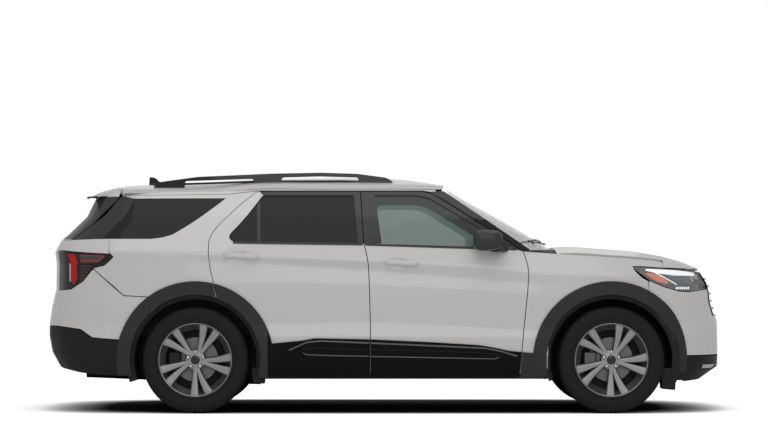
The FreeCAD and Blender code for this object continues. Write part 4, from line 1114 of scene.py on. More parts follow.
# %% [markdown]
# A wheel is round, so its pieces are worked out in its own terms: a radius, an angle and an
# offset outwards from the wheel's middle plane. A profile of (radius, offset) turned about the
# axle makes every ring: tyre, cap and nuts.


# %% Wheel points
def wheel_points(radius, angle, offset, axle, side):
    """Points at a radius and an angle from straight up towards the nose.

    x = axle + r·sin a, y = side·(half track + offset) and z = axle height + r·cos a.
    """
    radius, angle, offset = np.broadcast_arrays(radius, angle, offset)
    return np.stack([axle + radius * np.sin(angle), side * (TRACK_HALF + offset),
                     AXLE_HEIGHT + radius * np.cos(angle)], -1)


WHEELS = {"%s_%s" % (end, side_name): (axle, side)
          for end, axle in (("front", FRONT_AXLE), ("rear", REAR_AXLE))
          for side_name, side in SIDES.items()}
print("wheels", *WHEELS)

# %% [markdown]
# Above each wheel lies a black liner, a part of a cylinder that hides the structure, with a
# flange out to the moulding and a wall on its inner side. It could be half a primitive
# cylinder, but two radii and an angle leave the steered wheel its room for sure. In front of
# the wheels hang small black flaps, which keep the air off the tyres, and two small slabs
# close the gaps beside each front liner.


# %% Liners and flaps
LINER_RADIUS = 0.445
SHEET = 0.004


def arch_liner(axle, side, piece):
    """Adds a liner that runs from 19 degrees below the axle, over the wheel and back.

    It is three shells of constant radius or offset: the roof, the flange and the inner wall.
    """
    angle = np.radians(np.linspace(-109, 109, 60))[:, None]
    across = np.linspace(-0.300, 0.100, 12)[None, :]
    piece.shell(wheel_points(LINER_RADIUS + SHEET, angle, across, axle, side),
                wheel_points(LINER_RADIUS, angle, across, axle, side))
    reach = ARCH_EDGE + 0.024 * (angle * np.sign(axle) > 1.15)
    start = LINER_RADIUS + 0.001
    away = start + (reach - start) * np.array([[0.0, 1.0]])
    piece.shell(wheel_points(away, angle, 0.099, axle, side),
                wheel_points(away, angle, 0.099 - SHEET, axle, side))
    inside = -0.300 if axle < 0 else -0.385
    away = np.array([[0.330, 0.490]])
    piece.shell(wheel_points(away, angle, inside, axle, side),
                wheel_points(away, angle, inside - SHEET, axle, side))


def slab(outline, near, far, side, piece):
    """Adds a slab between two distances from the middle, from a side-view outline."""
    outline = np.array(outline + outline[:1], float)
    rims = [np.stack([outline[:, 0], np.full(len(outline), side * y), outline[:, 1]], -1)
            for y in (near, far)]
    ends = [np.repeat(rim.mean(0)[None], len(outline), 0) for rim in rims]
    piece.grid(np.stack([ends[0], rims[0], rims[1], ends[1]]))


liners = Piece("arch_liners")
for axle, side in WHEELS.values():
    arch_liner(axle, side, liners)
    if axle > 0:
        slab([(2.105, 0.345), (2.105, 0.240), (2.208, 0.240), (2.208, 0.345)], 0.80, 0.90, side,
             liners)
        slab([(1.190, 0.520), (1.190, 0.300), (1.212, 0.300), (1.212, 0.520)], 0.930, 0.936,
             side, liners)
    flap = ([(2.020, 0.330), (2.026, 0.178), (2.122, 0.170), (2.132, 0.330)] if axle > 0 else
            [(-0.960, 0.330), (-0.950, 0.222), (-0.872, 0.216), (-0.866, 0.330)])
    slab(flap, 0.72, 0.945, side, liners)
liners.make("body", "cladding_plastic", [LOWER_BLACK_AND_SHADE], bevel=0.004)

# %% [markdown]
# The tyre's side wall bulges, carries a rim guard and a few moulded rings, and meets the tread
# in a rounded shoulder. The tread's grooves are cut by a function of angle and offset: two
# rings all round, slanted cuts between the shoulder blocks and fine cuts in the middle.

# %% Tyres
TREAD_HALF, CROWN_RADIUS, GROOVE_DEPTH = 0.104, 0.3898, 0.007
TYRE_SIDE = [(0.2685, 0.112), (0.2690, 0.1205), (0.2740, 0.1245), (0.2790, 0.1262),
             (0.2830, 0.1262), (0.2860, 0.1235), (0.2870, 0.1220), (0.2950, 0.1240),
             (0.3010, 0.1252), (0.3016, 0.1263), (0.3040, 0.1266), (0.3046, 0.1258),
             (0.3150, 0.1268), (0.3250, 0.1272), (0.3350, 0.1268), (0.3356, 0.1275),
             (0.3376, 0.1273), (0.3382, 0.1262), (0.3480, 0.1245), (0.3560, 0.1222),
             (0.3566, 0.1232), (0.3590, 0.1226), (0.3596, 0.1210), (0.3680, 0.1178),
             (0.3750, 0.1140), (0.3800, 0.1095)]
BLOCKS, STEPS_PER_BLOCK = 56, 6


def tyre_profile():
    """Radius and offset round the tyre: side wall, tread, far side wall and bore.

    The tread's radius falls by 6.5 mm times the share of its half width to the power 3.5.
    """
    offsets = np.linspace(-1, 1, 37) * TREAD_HALF
    crown = CROWN_RADIUS - 0.0065 * (np.abs(offsets) / TREAD_HALF) ** 3.5
    wall = np.array(TYRE_SIDE)
    far = wall * [1, -1]
    bore = np.stack([np.full(5, 0.2685), np.linspace(-0.100, 0.100, 5)], -1)
    return np.concatenate([far, np.stack([crown, offsets], -1), wall[::-1], bore[::-1]])


def groove(angle, offset, radius):
    """Depth of the tread pattern at an angle and an offset, as a share of the grooves'."""
    wide = np.abs(offset)
    rings = (np.abs(wide - 0.030) < 0.0042) | (np.abs(wide - 0.068) < 0.0042)
    slant = (angle * BLOCKS / (2 * np.pi) + offset * 14.0) % 1.0
    cuts = (wide > 0.072) & (slant < 0.22) & (radius > 0.372)
    fine = (wide < 0.066) & ((slant + 0.35) % 1.0 < 0.13)
    shoulder = (radius > 0.356) & (radius <= 0.384) & (wide > 0.1) & (slant < 0.22)
    return np.where(rings | cuts, 1.0, np.where(fine, 0.6, np.where(shoulder, 0.3, 0.0)))


profile = tyre_profile()
angles = np.linspace(0, 2 * np.pi, BLOCKS * STEPS_PER_BLOCK, endpoint=False)[:, None]
radius, offset = profile[None, :, 0], profile[None, :, 1]
pattern = GROOVE_DEPTH * groove(angles, offset, radius)
for name, (axle, side) in WHEELS.items():
    tyre = Piece("tyre_tread_" + name)
    tyre.grid(wheel_points(radius - pattern, angles * side, offset, axle, side), 0, True, True)
    tyre.make("wheel_" + name, "tyre_rubber", [RUBBER], ["tyre_" + name], sharp=30.0)
print("tyre faces", len(angles) * len(profile))

# %% [markdown]
# The rim has five pairs of spokes. One of a pair runs straight out, the other leans away from
# it, and both widen to the lip. A spoke is a section of seven corners carried along the radius.
# The barrel, the hub and the brake disc are profiles turned about the axle. The Screw modifier
# could turn them too, but a grid also closes its poles and knows which way is out.


# %% Profiles of the rim, the brake and the small parts
def dome(profile, centre, axle, side, piece, material=0, count=32):
    """Adds a closed profile turned about a point (distance, angle) on the wheel's face.

    x = distance·sin(angle) + r·sin t and z = distance·cos(angle) + r·cos t from the axle.
    """
    profile = np.array(profile, float)
    around = np.linspace(0, 2 * np.pi, count, endpoint=False)[:, None]
    away, angle = centre
    x = away * np.sin(angle) + profile[None, :, 0] * np.sin(around)
    z = away * np.cos(angle) + profile[None, :, 0] * np.cos(around)
    points = np.stack([axle + x, np.broadcast_to(side * (TRACK_HALF + profile[None, :, 1]),
                                                 x.shape), AXLE_HEIGHT + z], -1)
    piece.grid(points, material, True, False)


LIP = [(0.2678, 0.1110), (0.2690, 0.1180), (0.2660, 0.1202), (0.2615, 0.1188), (0.2575, 0.1110)]
CONE = [(0.2575, 0.1110), (0.2400, 0.0700), (0.2215, 0.0500), (0.2175, 0.0440)]
BARREL = [(0.2175, 0.0440), (0.2200, 0.0400), (0.2450, 0.0370), (0.2520, 0.0200),
          (0.2500, -0.1000), (0.2560, -0.1160), (0.2670, -0.1180), (0.2678, -0.1000),
          (0.2678, 0.1110)]
HUB = [(0.0, 0.0980), (0.0400, 0.0980), (0.0640, 0.0960), (0.0720, 0.0910), (0.0770, 0.0820),
       (0.0790, 0.0600), (0.0790, 0.0200), (0.0, 0.0200)]
DISC = [(0.0, 0.0300), (0.0740, 0.0300), (0.0760, 0.0165), (0.0900, 0.0160), (0.1620, 0.0160),
        (0.1630, 0.0150), (0.1630, -0.0090), (0.1620, -0.0100), (0.0, -0.0100)]
SHIELD = [(0.0600, -0.0290), (0.2270, -0.0290), (0.2300, -0.0240), (0.2320, -0.0240),
          (0.2320, -0.0340), (0.0600, -0.0350)]
WELL = [(0.0, 0.0986), (0.0125, 0.0986), (0.0140, 0.0975), (0.0140, 0.0940), (0.0, 0.0940)]
CAP = [(0.0, 0.104), (0.012, 0.1038), (0.024, 0.1028), (0.0315, 0.1010), (0.0335, 0.0995),
       (0.0335, 0.080), (0.0, 0.080)]
NUT = [(0.0, 0.1070), (0.005, 0.1068), (0.0085, 0.1052), (0.0102, 0.1025), (0.0106, 0.097),
       (0.0072, 0.0965), (0.0072, 0.084), (0.0, 0.084)]
VALVE = [(0.0, 0.096), (0.0032, 0.0958), (0.0038, 0.094), (0.0038, 0.070), (0.0, 0.070)]
CAP_BLACK = gloss_finish("cap_black", (0.008, 0.008, 0.008), 0.2, 0.4)
NUT_METAL = metal_finish("nut_chrome", (0.80, 0.80, 0.80), 0.16)
PAIR_ANGLES = [-7.0 + 72.0 * k for k in range(5)]
BOLT_CIRCLE, VALVE_CIRCLE = 0.05715, 0.238
print("spokes", 2 * len(PAIR_ANGLES))

# %% [markdown]
# The two spokes of a pair start side by side at the hub. Their section is seven points wide:
# a nearly flat face, two narrow bevels that catch the light, and two deep flanks.


# %% Rims
def spoke(start, lean, axle, side, piece):
    """Adds one spoke: its angle is start plus lean times the share of the way out.

    Its width grows from 24 mm at the hub to 64 mm at the lip, and its face rises with the
    power 1.6 of the way out.
    """
    t = np.linspace(0, 1, 25)[:, None]
    away = 0.050 + 0.214 * t
    half = 0.0120 + 0.0200 * t
    face = 0.0965 + 0.0150 * t ** 1.6
    edge = np.array([-1.16, -1.0, -0.80, 0.0, 0.80, 1.0, 1.16])[None, :]
    sink = np.array([-0.046, -0.007, -0.001, 0.0012, -0.001, -0.007, -0.046])[None, :]
    angle = np.radians(start + lean * t)
    aside = half * edge
    x = away * np.cos(angle) - aside * np.sin(angle)
    z = away * np.sin(angle) + aside * np.cos(angle)
    depth = np.maximum(sink, -0.046 + 0.012 * t)
    points = np.stack([axle + x, side * (TRACK_HALF + face + depth), AXLE_HEIGHT + z], -1)
    ends = [np.repeat(points[k].mean(0)[None], 7, 0) for k in (0, -1)]
    piece.grid(np.concatenate([[ends[0]], points, [ends[1]]]), 0, False, True)


def ring_of(profile, axle, side, piece, material=0, count=96):
    """Adds a profile of (radius, offset) turned about the axle."""
    dome(profile, (0.0, 0.0), axle, side, piece, material, count)


# %% [markdown]
# Rim, cap, nuts, valve and dust shield come together wheel by wheel. Linked copies of one
# wheel would be smaller, but here a piece's place lies in its points, so each wheel gets its
# own, and the left ones are mirrored.

# %% Four wheels
for name, (axle, side) in WHEELS.items():
    rim = Piece("rim_face_" + name)
    # The cone and the barrel take darker metals than the lip and hub: painted shade deep in the
    # wheel.
    for ring_profile, material in ((LIP, 0), (CONE, 1), (BARREL, 2), (HUB, 0), (DISC, 3)):
        ring_of(ring_profile, axle, side, rim, material)
    for start in PAIR_ANGLES:
        spoke(start - 12.4, 0.0, axle, side, rim)
        spoke(start + 3.5, 8.5, axle, side, rim)
    rim.make("wheel_" + name, "rim_metal", [RIM_METAL, SHADED_CONE_METAL, DARK_METAL_AND_SHADE, DISC_METAL],
             ["rim_" + name], sharp=28.0, bevel=0.0008)
    trim = Piece("wheel_trim_" + name)
    dome(CAP, (0.0, 0.0), axle, side, trim)
    for k in range(5):
        first = math.radians(72 * k)
        dome(WELL, (BOLT_CIRCLE, first), axle, side, trim, 0, 24)
        dome(NUT, (BOLT_CIRCLE, first), axle, side, trim, 1, 24)
    dome(VALVE, (VALVE_CIRCLE, math.radians(-4)), axle, side, trim, 0, 12)
    trim.make("wheel_" + name, "black_trim", [CAP_BLACK, NUT_METAL])
    shield = Piece("dust_shield_" + name)
    ring_of(SHIELD + SHIELD[:1], axle, side, shield, 0, 64)
    shield.make("body" if "rear" in name else "knuckle_" + name.split("_")[1], "cast_metal",
                [LOWER_BLACK_AND_SHADE])

# %% [markdown]
# Lamps are built in layers, as the real ones are: a black housing, then the light guides and
# reflectors, then the clear lens. Each layer is a strip of the body surface set a few
# millimetres in, so the same patch helper draws it from its edges in side view.

# %% Lamp finishes
DAY_LIGHT = glow_finish("day_light", (0.90, 0.92, 0.95), 0.55)
TAIL_WHITE = glow_finish("tail_white", (0.42, 0.43, 0.43), 0.05)
AMBER = glow_finish("amber_reflector", (0.70, 0.13, 0.05), 0.35)
RED_BRIGHT = glow_finish("red_bright", (0.62, 0.006, 0.008), 0.35)
RED_DEEP = gloss_finish("red_deep", (0.060, 0.003, 0.004), 0.15)
SMOKE = gloss_finish("smoke_grey", (0.030, 0.036, 0.036), 0.12)
REFLECTOR = metal_finish("reflector_chrome", (0.50, 0.52, 0.54), 0.12, 60.0)
LENS = glass_finish("lamp_lens", (0.75, 0.78, 0.80), 0.10)


def ribbed(name, colour, scale, strength):
    """A glossy lens with fine upright ribs moulded into its back."""
    finish = Finish(name, colour, 0.25, Coat_Weight=0.2, Coat_Roughness=0.03,
                    Specular_IOR_Level=0.2, Emission_Strength=strength)
    ribs = (finish.axis("x") * scale).math("SINE") * 0.5 + 0.5
    deep = tuple(c * 0.45 for c in colour)
    tone = finish.mix(ribs, deep, colour)
    finish.set(Base_Color=tone, Emission_Color=tone)
    finish.bump(ribs, 0.4, 0.0006)
    return finish.material


RED_RIBS = ribbed("red_ribs", (0.50, 0.004, 0.005), 1500.0, 0.22)
print("finishes", len(bpy.data.materials))

# %% [markdown]
# A headlamp is a black tray that is sunk into the wing, with a thin clear lens flush over it.
# The wing could be hollowed with a boolean, but a grid whose edge lies higher than all the
# rest of it is a tray already.

# %% Headlamp trays and lenses
LAMP_LOW = [(1.813, 1.060), (1.8615, 1.020), (1.9335, 0.9695), (2.0435, 0.9225),
            (2.1545, 0.8935), (2.2545, 0.8885), (2.380, 0.898)]
LAMP_TOP = [(1.815, 1.066), (1.8615, 1.0665), (2.0445, 1.0535), (2.295, 1.0405)]
LAMP_INNER = 0.566


def lamp_places():
    """Places (s, z) over one headlamp, from its rear tip round the corner of the nose."""
    low, high = side_curve(LAMP_LOW), side_curve(LAMP_TOP)
    inner = [(float(s_at(LAMP_INNER, z, 1)), z) for z in (0.905, 1.030)]
    low, high = np.vstack([low, inner[0]]), np.vstack([high, inner[1]])
    return coons([low[0], high[0]], inner, low, high, 0.010)


def tray(piece, places, side, rim, floor, back):
    """Adds a hollow tray: its edge ring lies at the depth rim and all else at floor."""
    s, z = (np.pad(places[..., k], 1, mode="edge") for k in (0, 1))
    depth = np.full(s.shape, floor)
    depth[0] = depth[-1] = rim
    depth[:, 0] = depth[:, -1] = rim
    piece.shell(flip(body(s, z, depth), side), flip(body(s, z, back), side))


housing, glass = Piece("headlamp_housing"), Piece("headlamp_glass")
for side in SIDES.values():
    tray(housing, lamp_places(), side, 0.0015, 0.034, 0.040)
    panel(glass, lamp_places(), side, 0.0025, 0.0008, 0, 0)
housing.make("body", "black_trim", [BLACK], ["headlamps"])
glass.make("body", "lamp_lens", [LENS])

# %% [markdown]
# Between tray and lens lie a bright guide that forks, an amber reflector, a row of small
# white segments and a smoked pane. Drawn by hand each would need shrink-wrapping onto the
# body; as patches of the same surface they fit from the start.

# %% Light guides and reflectors
inside = Piece("headlamp_lights")
for side in SIDES.values():
    patch(inside, [(1.905, 1.040), (1.912, 1.053)], [(2.312, 1.000), (2.318, 1.024)], side,
          0.0045, 0.004, 0, [(1.905, 1.040), (1.990, 1.020), (2.120, 1.004), (2.312, 1.000)],
          [(1.912, 1.053), (2.120, 1.043), (2.318, 1.024)])
    patch(inside, [(2.136, 0.936), (2.150, 0.936)], [(1.975, 1.022), (1.992, 1.022)], side,
          0.0045, 0.004, 0)
    patch(inside, [(1.984, 0.963), (1.899, 1.021)], [(2.062, 0.943), (2.076, 0.960)], side,
          0.0045, 0.004, 1, [(1.984, 0.963), (2.030, 0.950), (2.062, 0.943)],
          [(1.899, 1.021), (1.969, 1.017), (2.030, 0.986), (2.076, 0.960)])
    for k in range(7):
        x = 2.128 + 0.018 * k
        patch(inside, [(x, 0.905), (x + 0.006, 0.921)], [(x + 0.009, 0.903), (x + 0.014, 0.919)],
              side, -0.0025, 0.004, 0, spacing=0.004)
    patch(inside, [(2.155, 0.953), (2.060, 1.004)], [(2.290, 0.938), (2.300, 0.992)], side,
          0.012, 0.004, 2)
inside.make("body", "lamp_lens", [DAY_LIGHT, AMBER, SMOKE])

# %% [markdown]
# The projector eyes are short cups behind the lens. They look straight ahead whatever way
# the lens runs, so their profile is turned about a line along the car.


# %% Projector eyes
def forward_dome(piece, centre, profile, material, count=36):
    """Adds a profile of (radius, depth ahead) turned about a line along the car.

    y = centre + r·sin t and z = centre + r·cos t.
    """
    profile = np.array(profile, float)
    around = np.linspace(0, 2 * np.pi, count, endpoint=False)[:, None]
    x, y, z = centre
    points = np.stack([np.broadcast_to(x + profile[None, :, 1], (count, len(profile))),
                       y + profile[None, :, 0] * np.sin(around),
                       z + profile[None, :, 0] * np.cos(around)], -1)
    piece.grid(points, material, True, False)


EYE = [(0.0, 0.012), (0.010, 0.0105), (0.018, 0.006), (0.0215, 0.0), (0.024, 0.002),
       (0.029, 0.002), (0.031, -0.004), (0.031, -0.020), (0.0, -0.020)]
eyes = Piece("headlamp_eyes")
for side in SIDES.values():
    for y, z in ((0.650, 0.985), (0.760, 0.975)):
        x = float(body(s_at(y, z, 1), z)[..., 0])
        forward_dome(eyes, (x - 0.030, side * y, z), EYE, 0)
eyes.make("body", "lamp_lens", [REFLECTOR])

# %% [markdown]
# The tail lamps carry a bright upright blade, a white strip beside it, a smoked wing with
# thin red lines and a deep red corner below. The model's lamp stays as their black housing,
# and the lights stand two millimetres proud of it.

# %% Tail lamps
dressed("tail_lamps", "tail_lamp_housing", "tail_lamp_lens", [BLACK])
lights = Piece("tail_lamp_lights")
PROUD = -0.0022
for side in SIDES.values():
    patch(lights, [(-2.311, 0.962), (-2.315, 1.091), (-2.331, 1.118), (-2.346, 1.161)],
          [(-2.289, 0.932), (-2.262, 0.985), (-2.240, 1.098), (-2.285, 1.160)], side, PROUD,
          0.004, 0)
    patch(lights, [(-2.330, 0.960), (-2.334, 1.094)], [(-2.317, 0.960), (-2.319, 1.090)], side,
          PROUD, 0.004, 1)
    patch(lights, [(-2.232, 1.098), (-2.276, 1.160)], [(-2.078, 1.098), (-2.022, 1.150)], side,
          PROUD, 0.003, 2)
    for low, high, start, end in ((1.101, 1.103, -2.225, -2.075), (1.113, 1.116, -2.222, -2.060),
                                  (1.146, 1.148, -2.250, -2.040)):
        patch(lights, [(start, low), (start - 0.002, high)], [(end, low), (end + 0.002, high)],
              side, PROUD - 0.001, 0.002, 3)
    patch(lights, [(-2.062, 1.114), (-2.066, 1.114)], [(-2.028, 1.148), (-2.036, 1.148)], side,
          PROUD - 0.001, 0.002, 3)
    for k in range(6):
        low = 0.955 + 0.022 * k
        patch(lights, [(-2.243 + 0.004 * k - 0.010, low), (-2.246, low + 0.012)],
              [(-2.205 + 0.0135 * k, low), (-2.197 + 0.0135 * k, low + 0.012)], side, PROUD,
              0.003, 4)
lights.make("body", "tail_lamp_lens", [RED_RIBS, TAIL_WHITE, SMOKE, RED_BRIGHT, RED_DEEP])
print("lamp faces", len(inside.faces) + len(lights.faces))

# %% [markdown]
# A handle, a mirror's foot and a wiper are all bars: a section carried along a path. A curve
# with a bevel could do it, but its section is the same all along. Here the section is a
# superellipse whose two half widths may change along the path.


# %% Bars along a path
def squared(value, power):
    """sign(v)·|v|^(2/p): makes a superellipse of a circle's sine and cosine."""
    return np.sign(value) * np.abs(value) ** (2 / power)


def tube(path, across, high, count, power):
    """Grid of a bar: each ring is centre + a·cos(t)^(2/p)·side + b·sin(t)^(2/p)·up."""
    path = np.array(path, float)
    ahead = np.gradient(path, axis=0)
    ahead /= np.linalg.norm(ahead, axis=1, keepdims=True)
    side = np.cross(ahead, np.array([0.0, 0.0, 1.0]))
    side /= np.linalg.norm(side, axis=1, keepdims=True)
    top = np.cross(side, ahead)
    turn = np.linspace(0, 2 * np.pi, count, endpoint=False)
    a = squared(np.cos(turn), power) * np.broadcast_to(across, len(path))[:, None]
    b = squared(np.sin(turn), power) * np.broadcast_to(high, len(path))[:, None]
    return path[:, None] + a[..., None] * side[:, None] + b[..., None] * top[:, None]


def bar(piece, path, across, high, count=20, power=2.6):
    """Adds a bar with both of its ends closed to a point."""
    rings = tube(path, across, high, count, power)
    ends = [np.repeat(rings[k].mean(0)[None], count, 0) for k in (0, -1)]
    piece.grid(np.concatenate([[ends[0]], rings, [ends[1]]]), 0, False, True)


print("a bar's ring has", tube([(0, 0, 0), (1, 0, 0)], 0.01, 0.01, 20, 2.6).shape[1], "points")

# %% [markdown]
# Small trim follows the body surface too. A handle's path is the door's own surface lifted by
# 24 mm, and its ends sink into the door. The black belt strips run just below the glass.

# %% Handles and belt strips
HANDLE_REACH = 0.126
for side_name, side in SIDES.items():
    for end, (x, z, rise) in HANDLES.items():
        t = np.linspace(-1, 1, 33)
        points = body(x + HANDLE_REACH * t, z + rise * t)
        points[:, 1] -= 0.0245 * (1 - np.abs(t) ** 7) - 0.004
        handle = Piece("handle_%s_%s" % (end, side_name))
        bar(handle, flip(points, side), 0.0062, 0.0165 * (1 - 0.45 * np.abs(t) ** 6), 24, 3.2)
        handle.make("%s_door_%s" % (end, side_name), "body_paint", [PAINT])
    belt = Piece("belt_front_" + side_name)
    patch(belt, [(-0.138, 1.222), (-0.139, 1.238)], [(0.975, 1.186), (0.950, 1.203)], side,
          -0.003, 0.006, 0, [(-0.138, 1.222), (0.480, 1.202), (0.975, 1.186)],
          [(-0.139, 1.238), (0.480, 1.218), (0.950, 1.203)])
    belt.make("front_door_" + side_name, "black_trim", [FRAME_BLACK])
    belt = Piece("belt_rear_" + side_name)
    patch(belt, [(-1.098, 1.236), (-1.098, 1.250)], [(-0.154, 1.223), (-0.155, 1.240)], side,
          -0.003, 0.006, 0, [(-1.098, 1.236), (-0.872, 1.232), (-0.154, 1.223)],
          [(-1.098, 1.250), (-0.872, 1.248), (-0.155, 1.240)])
    patch(belt, [(-0.922, 1.248), (-0.930, 1.560)], [(-0.900, 1.248), (-0.908, 1.585)], side,
          0.0105, 0.004, 0)
    belt.make("rear_door_" + side_name, "black_trim", [FRAME_BLACK])

# %% [markdown]
# The cladding has a sloping ledge along its top, which catches the light, and a long shallow
# hollow. The ledge is a paler grey, a painted highlight. A dark strip of painted shadow marks
# the hollow's upper lip, and a pale strip of painted highlight its lower lip.


# %% Cladding ledge and lips, with painted highlight and shadow
LEDGE = [(-0.700, 0.474), (-0.557, 0.537), (-0.453, 0.545), (-0.097, 0.530), (0.733, 0.493),
         (0.850, 0.471), (0.968, 0.434)]
UPPER_LIP_SHADOW = [(-0.600, 0.456), (-0.585, 0.474), (-0.520, 0.481), (-0.097, 0.470), (0.700, 0.448),
            (0.820, 0.437), (0.850, 0.420)]
LOWER_LIP_HIGHLIGHT = [(-0.600, 0.456), (-0.570, 0.434), (-0.450, 0.428), (-0.097, 0.420), (0.500, 0.408),
           (0.800, 0.402), (0.850, 0.420)]
PROUD_OF_BODY = 0.0125


def along_side(curve, start, end, spacing=0.012):
    """Points of a side-view curve between two places along the car."""
    curve = np.array(curve, float)
    x = np.linspace(start, end, max(3, int(abs(end - start) / spacing)))
    return np.stack([x, np.interp(x, curve[:, 0], curve[:, 1])], -1)


def ledge(piece, curve, side, height, out_low, out_high, material=0):
    """Adds a strip under a side-view curve.

    It stands out_low proud of the cladding at its bottom, out_high at its top, and straight
    in between.
    """
    share = np.linspace(0, 1, 4)[:, None]
    x, z = curve[None, :, 0] + 0 * share, curve[None, :, 1] - height * (1 - share)
    out = PROUD_OF_BODY + out_low + (out_high - out_low) * share
    s = s_of(x, z)
    outer, inner = body(s, z, -out), body(s, z, -out + 0.006)
    piece.shell(flip(outer, side), flip(inner, side), material)


for side_name, side in SIDES.items():
    for end, start, stop in (("rear", -0.690, -0.1075), ("front", -0.0955, 0.966)):
        edge = Piece("cladding_ledge_%s_%s" % (end, side_name))
        # The ledge and the lower lip are pale grey, a painted highlight; the upper lip's dark
        # strip is painted shadow.
        ledge(edge, along_side(LEDGE, start, stop), side, 0.022, 0.0045, -0.0055, 0)
        low, high = (-0.588, stop) if end == "rear" else (start, 0.838)
        ledge(edge, along_side(UPPER_LIP_SHADOW, low, high), side, 0.007, 0.0005, 0.0025, 1)
        ledge(edge, along_side(LOWER_LIP_HIGHLIGHT, low, high), side, 0.007, 0.0040, -0.0005, 0)
        edge.make("%s_door_%s" % (end, side_name), "cladding_plastic", [HIGHLIGHT_GREY, LOWER_BLACK_AND_SHADE])

# %% [markdown]
# Each roof rail gets the low bar that narrows its two openings to slots, as on the real one.

# %% Lower rail bars
RAIL_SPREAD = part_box("roof_rails")[1].y - 0.022
lower_rails = Piece("rail_lower_bars")
for side in SIDES.values():
    x = np.linspace(-1.700, 0.060, 60)
    z = np.interp(x, [-1.70, -1.30, -0.92, -0.30, 0.06], [1.672, 1.684, 1.698, 1.700, 1.690])
    path = np.stack([x, np.full(60, side * RAIL_SPREAD), z], -1)
    bar(lower_rails, path, 0.018, 0.008, 16, 3.0)
lower_rails.make("body", "black_trim", [BLACK])

# %% [markdown]
# The grille is a stack of level bars over a dark floor, with short uprights between them,
# set in turn like bricks. One cell could be repeated with Array, but the nose is curved, so
# each bar is a strip of the body's own end surface, from one side of the car to the middle.


# %% Grille
def end_strip(piece, end, near, far, low, high, side, inset, depth, material=0, spacing=0.02):
    """Adds a strip of an end surface between two distances from the middle and two heights."""

    def edge(y, z):
        """Place of the end surface y from the middle, which at the middle is known."""
        return (float(s_at(y, z, end)) if y > 0.001 else end * MIDDLE, z)

    left = [edge(near, low), edge(near, high)]
    right = [edge(far, low), edge(far, high)]
    panel(piece, coons(left, right, spacing=spacing), side, depth, inset, material, material)


ROW_STEP = 0.0545
GRILLE_ROWS = [0.700 + ROW_STEP * k for k in range(6)]
GRILLE_TOP = 1.03
grille = Piece("grille_bars")
for side in SIDES.values():
    end_strip(grille, 1, 0.590, 0.0, 0.697, 1.020, side, 0.030, 0.010, 1)
    for k, low in enumerate(GRILLE_ROWS):
        reach = 0.590 if low < 0.87 else 0.552
        end_strip(grille, 1, reach, 0.0, low, low + 0.014, side, -0.014, 0.042, 0)
        for column in range(8):
            y = 0.008 + 0.076 * column + (0.038 if k % 2 else 0.0)
            if y + 0.012 < reach and low + ROW_STEP < GRILLE_TOP:
                end_strip(grille, 1, y + 0.012, y, low + 0.012, low + 0.056, side, 0.000, 0.028,
                          0, 0.01)
grille.make("body", "black_trim", [BLACK, LOWER_BLACK_AND_SHADE], ["grille"], bevel=0.0015)

# %% [markdown]
# Below the grille lie three dark slats and two pale strips, which stand for the skid plate,
# and the tail has a pale strip too. An upright dark slot at each corner of the nose is where
# air goes in to smooth the flow past the wheel.

# %% Nose and tail trim
noses = Piece("nose_trim")
for side in SIDES.values():
    patch(noses, [(2.276, 0.590), (2.271, 0.724)], [(2.291, 0.590), (2.290, 0.724)], side,
          -0.0008, 0.004, 0)
    end_strip(noses, 1, 0.800, 0.0, 0.326, 0.352, side, -0.010, 0.016, 1)
    end_strip(noses, 1, 0.700, 0.0, 0.272, 0.318, side, -0.002, 0.008, 1)
    for k in range(3):
        end_strip(noses, 1, 0.640, 0.0, 0.362 + 0.018 * k, 0.369 + 0.018 * k, side, -0.004,
                  0.010, 0)
    end_strip(noses, -1, 0.620, 0.0, 0.360, 0.470, side, -0.004, 0.010, 1)
noses.make("body", "black_trim", [LOWER_BLACK_AND_SHADE, SILVER], bevel=0.002)

# %% [markdown]
# A mirror is a rounded shell on a short foot, gloss black outside, with the glass at its
# back. A cube with Subdivision Surface comes close, but a superellipsoid keeps a flat face and
# even round edges, and one power says how square it is.


# %% Mirrors
MIRROR_GLASS = metal_finish("mirror_glass", (0.75, 0.78, 0.80), 0.02, 4.0)


def superellipsoid(power, around, upward):
    """Grid of |x|^p + |y|^p + |z|^p = 1 with its poles on z, as three arrays."""
    u = np.linspace(-np.pi, np.pi, around + 1)[:-1][:, None]
    v = np.linspace(-np.pi / 2, np.pi / 2, upward)[None, :]
    cu, su, cv, sv = (squared(f, power) for f in (np.cos(u), np.sin(u), np.cos(v), np.sin(v)))
    return cv * cu, cv * su, sv + 0 * u


def mirror_points(side, centre, half, power=3.6, taper=0.10):
    """A superellipsoid |x/a|^p + |y/b|^p + |z/c|^p = 1 that narrows ahead.

    y and z shrink by taper·(x/a + 1)/2, more strongly ahead, and the back is 8% flatter.
    """
    y, z, x = superellipsoid(power, 64, 33)
    back = np.where(x < 0, x * 0.92, x)
    shrink = 1 - taper * (x + 1) / 2 * np.where(x > 0, 1.6, 1.0)
    points = np.stack([half[0] * back, half[1] * y * shrink, half[2] * z * shrink], -1)
    return (points + np.array(centre)) * np.array([1.0, side, 1.0])


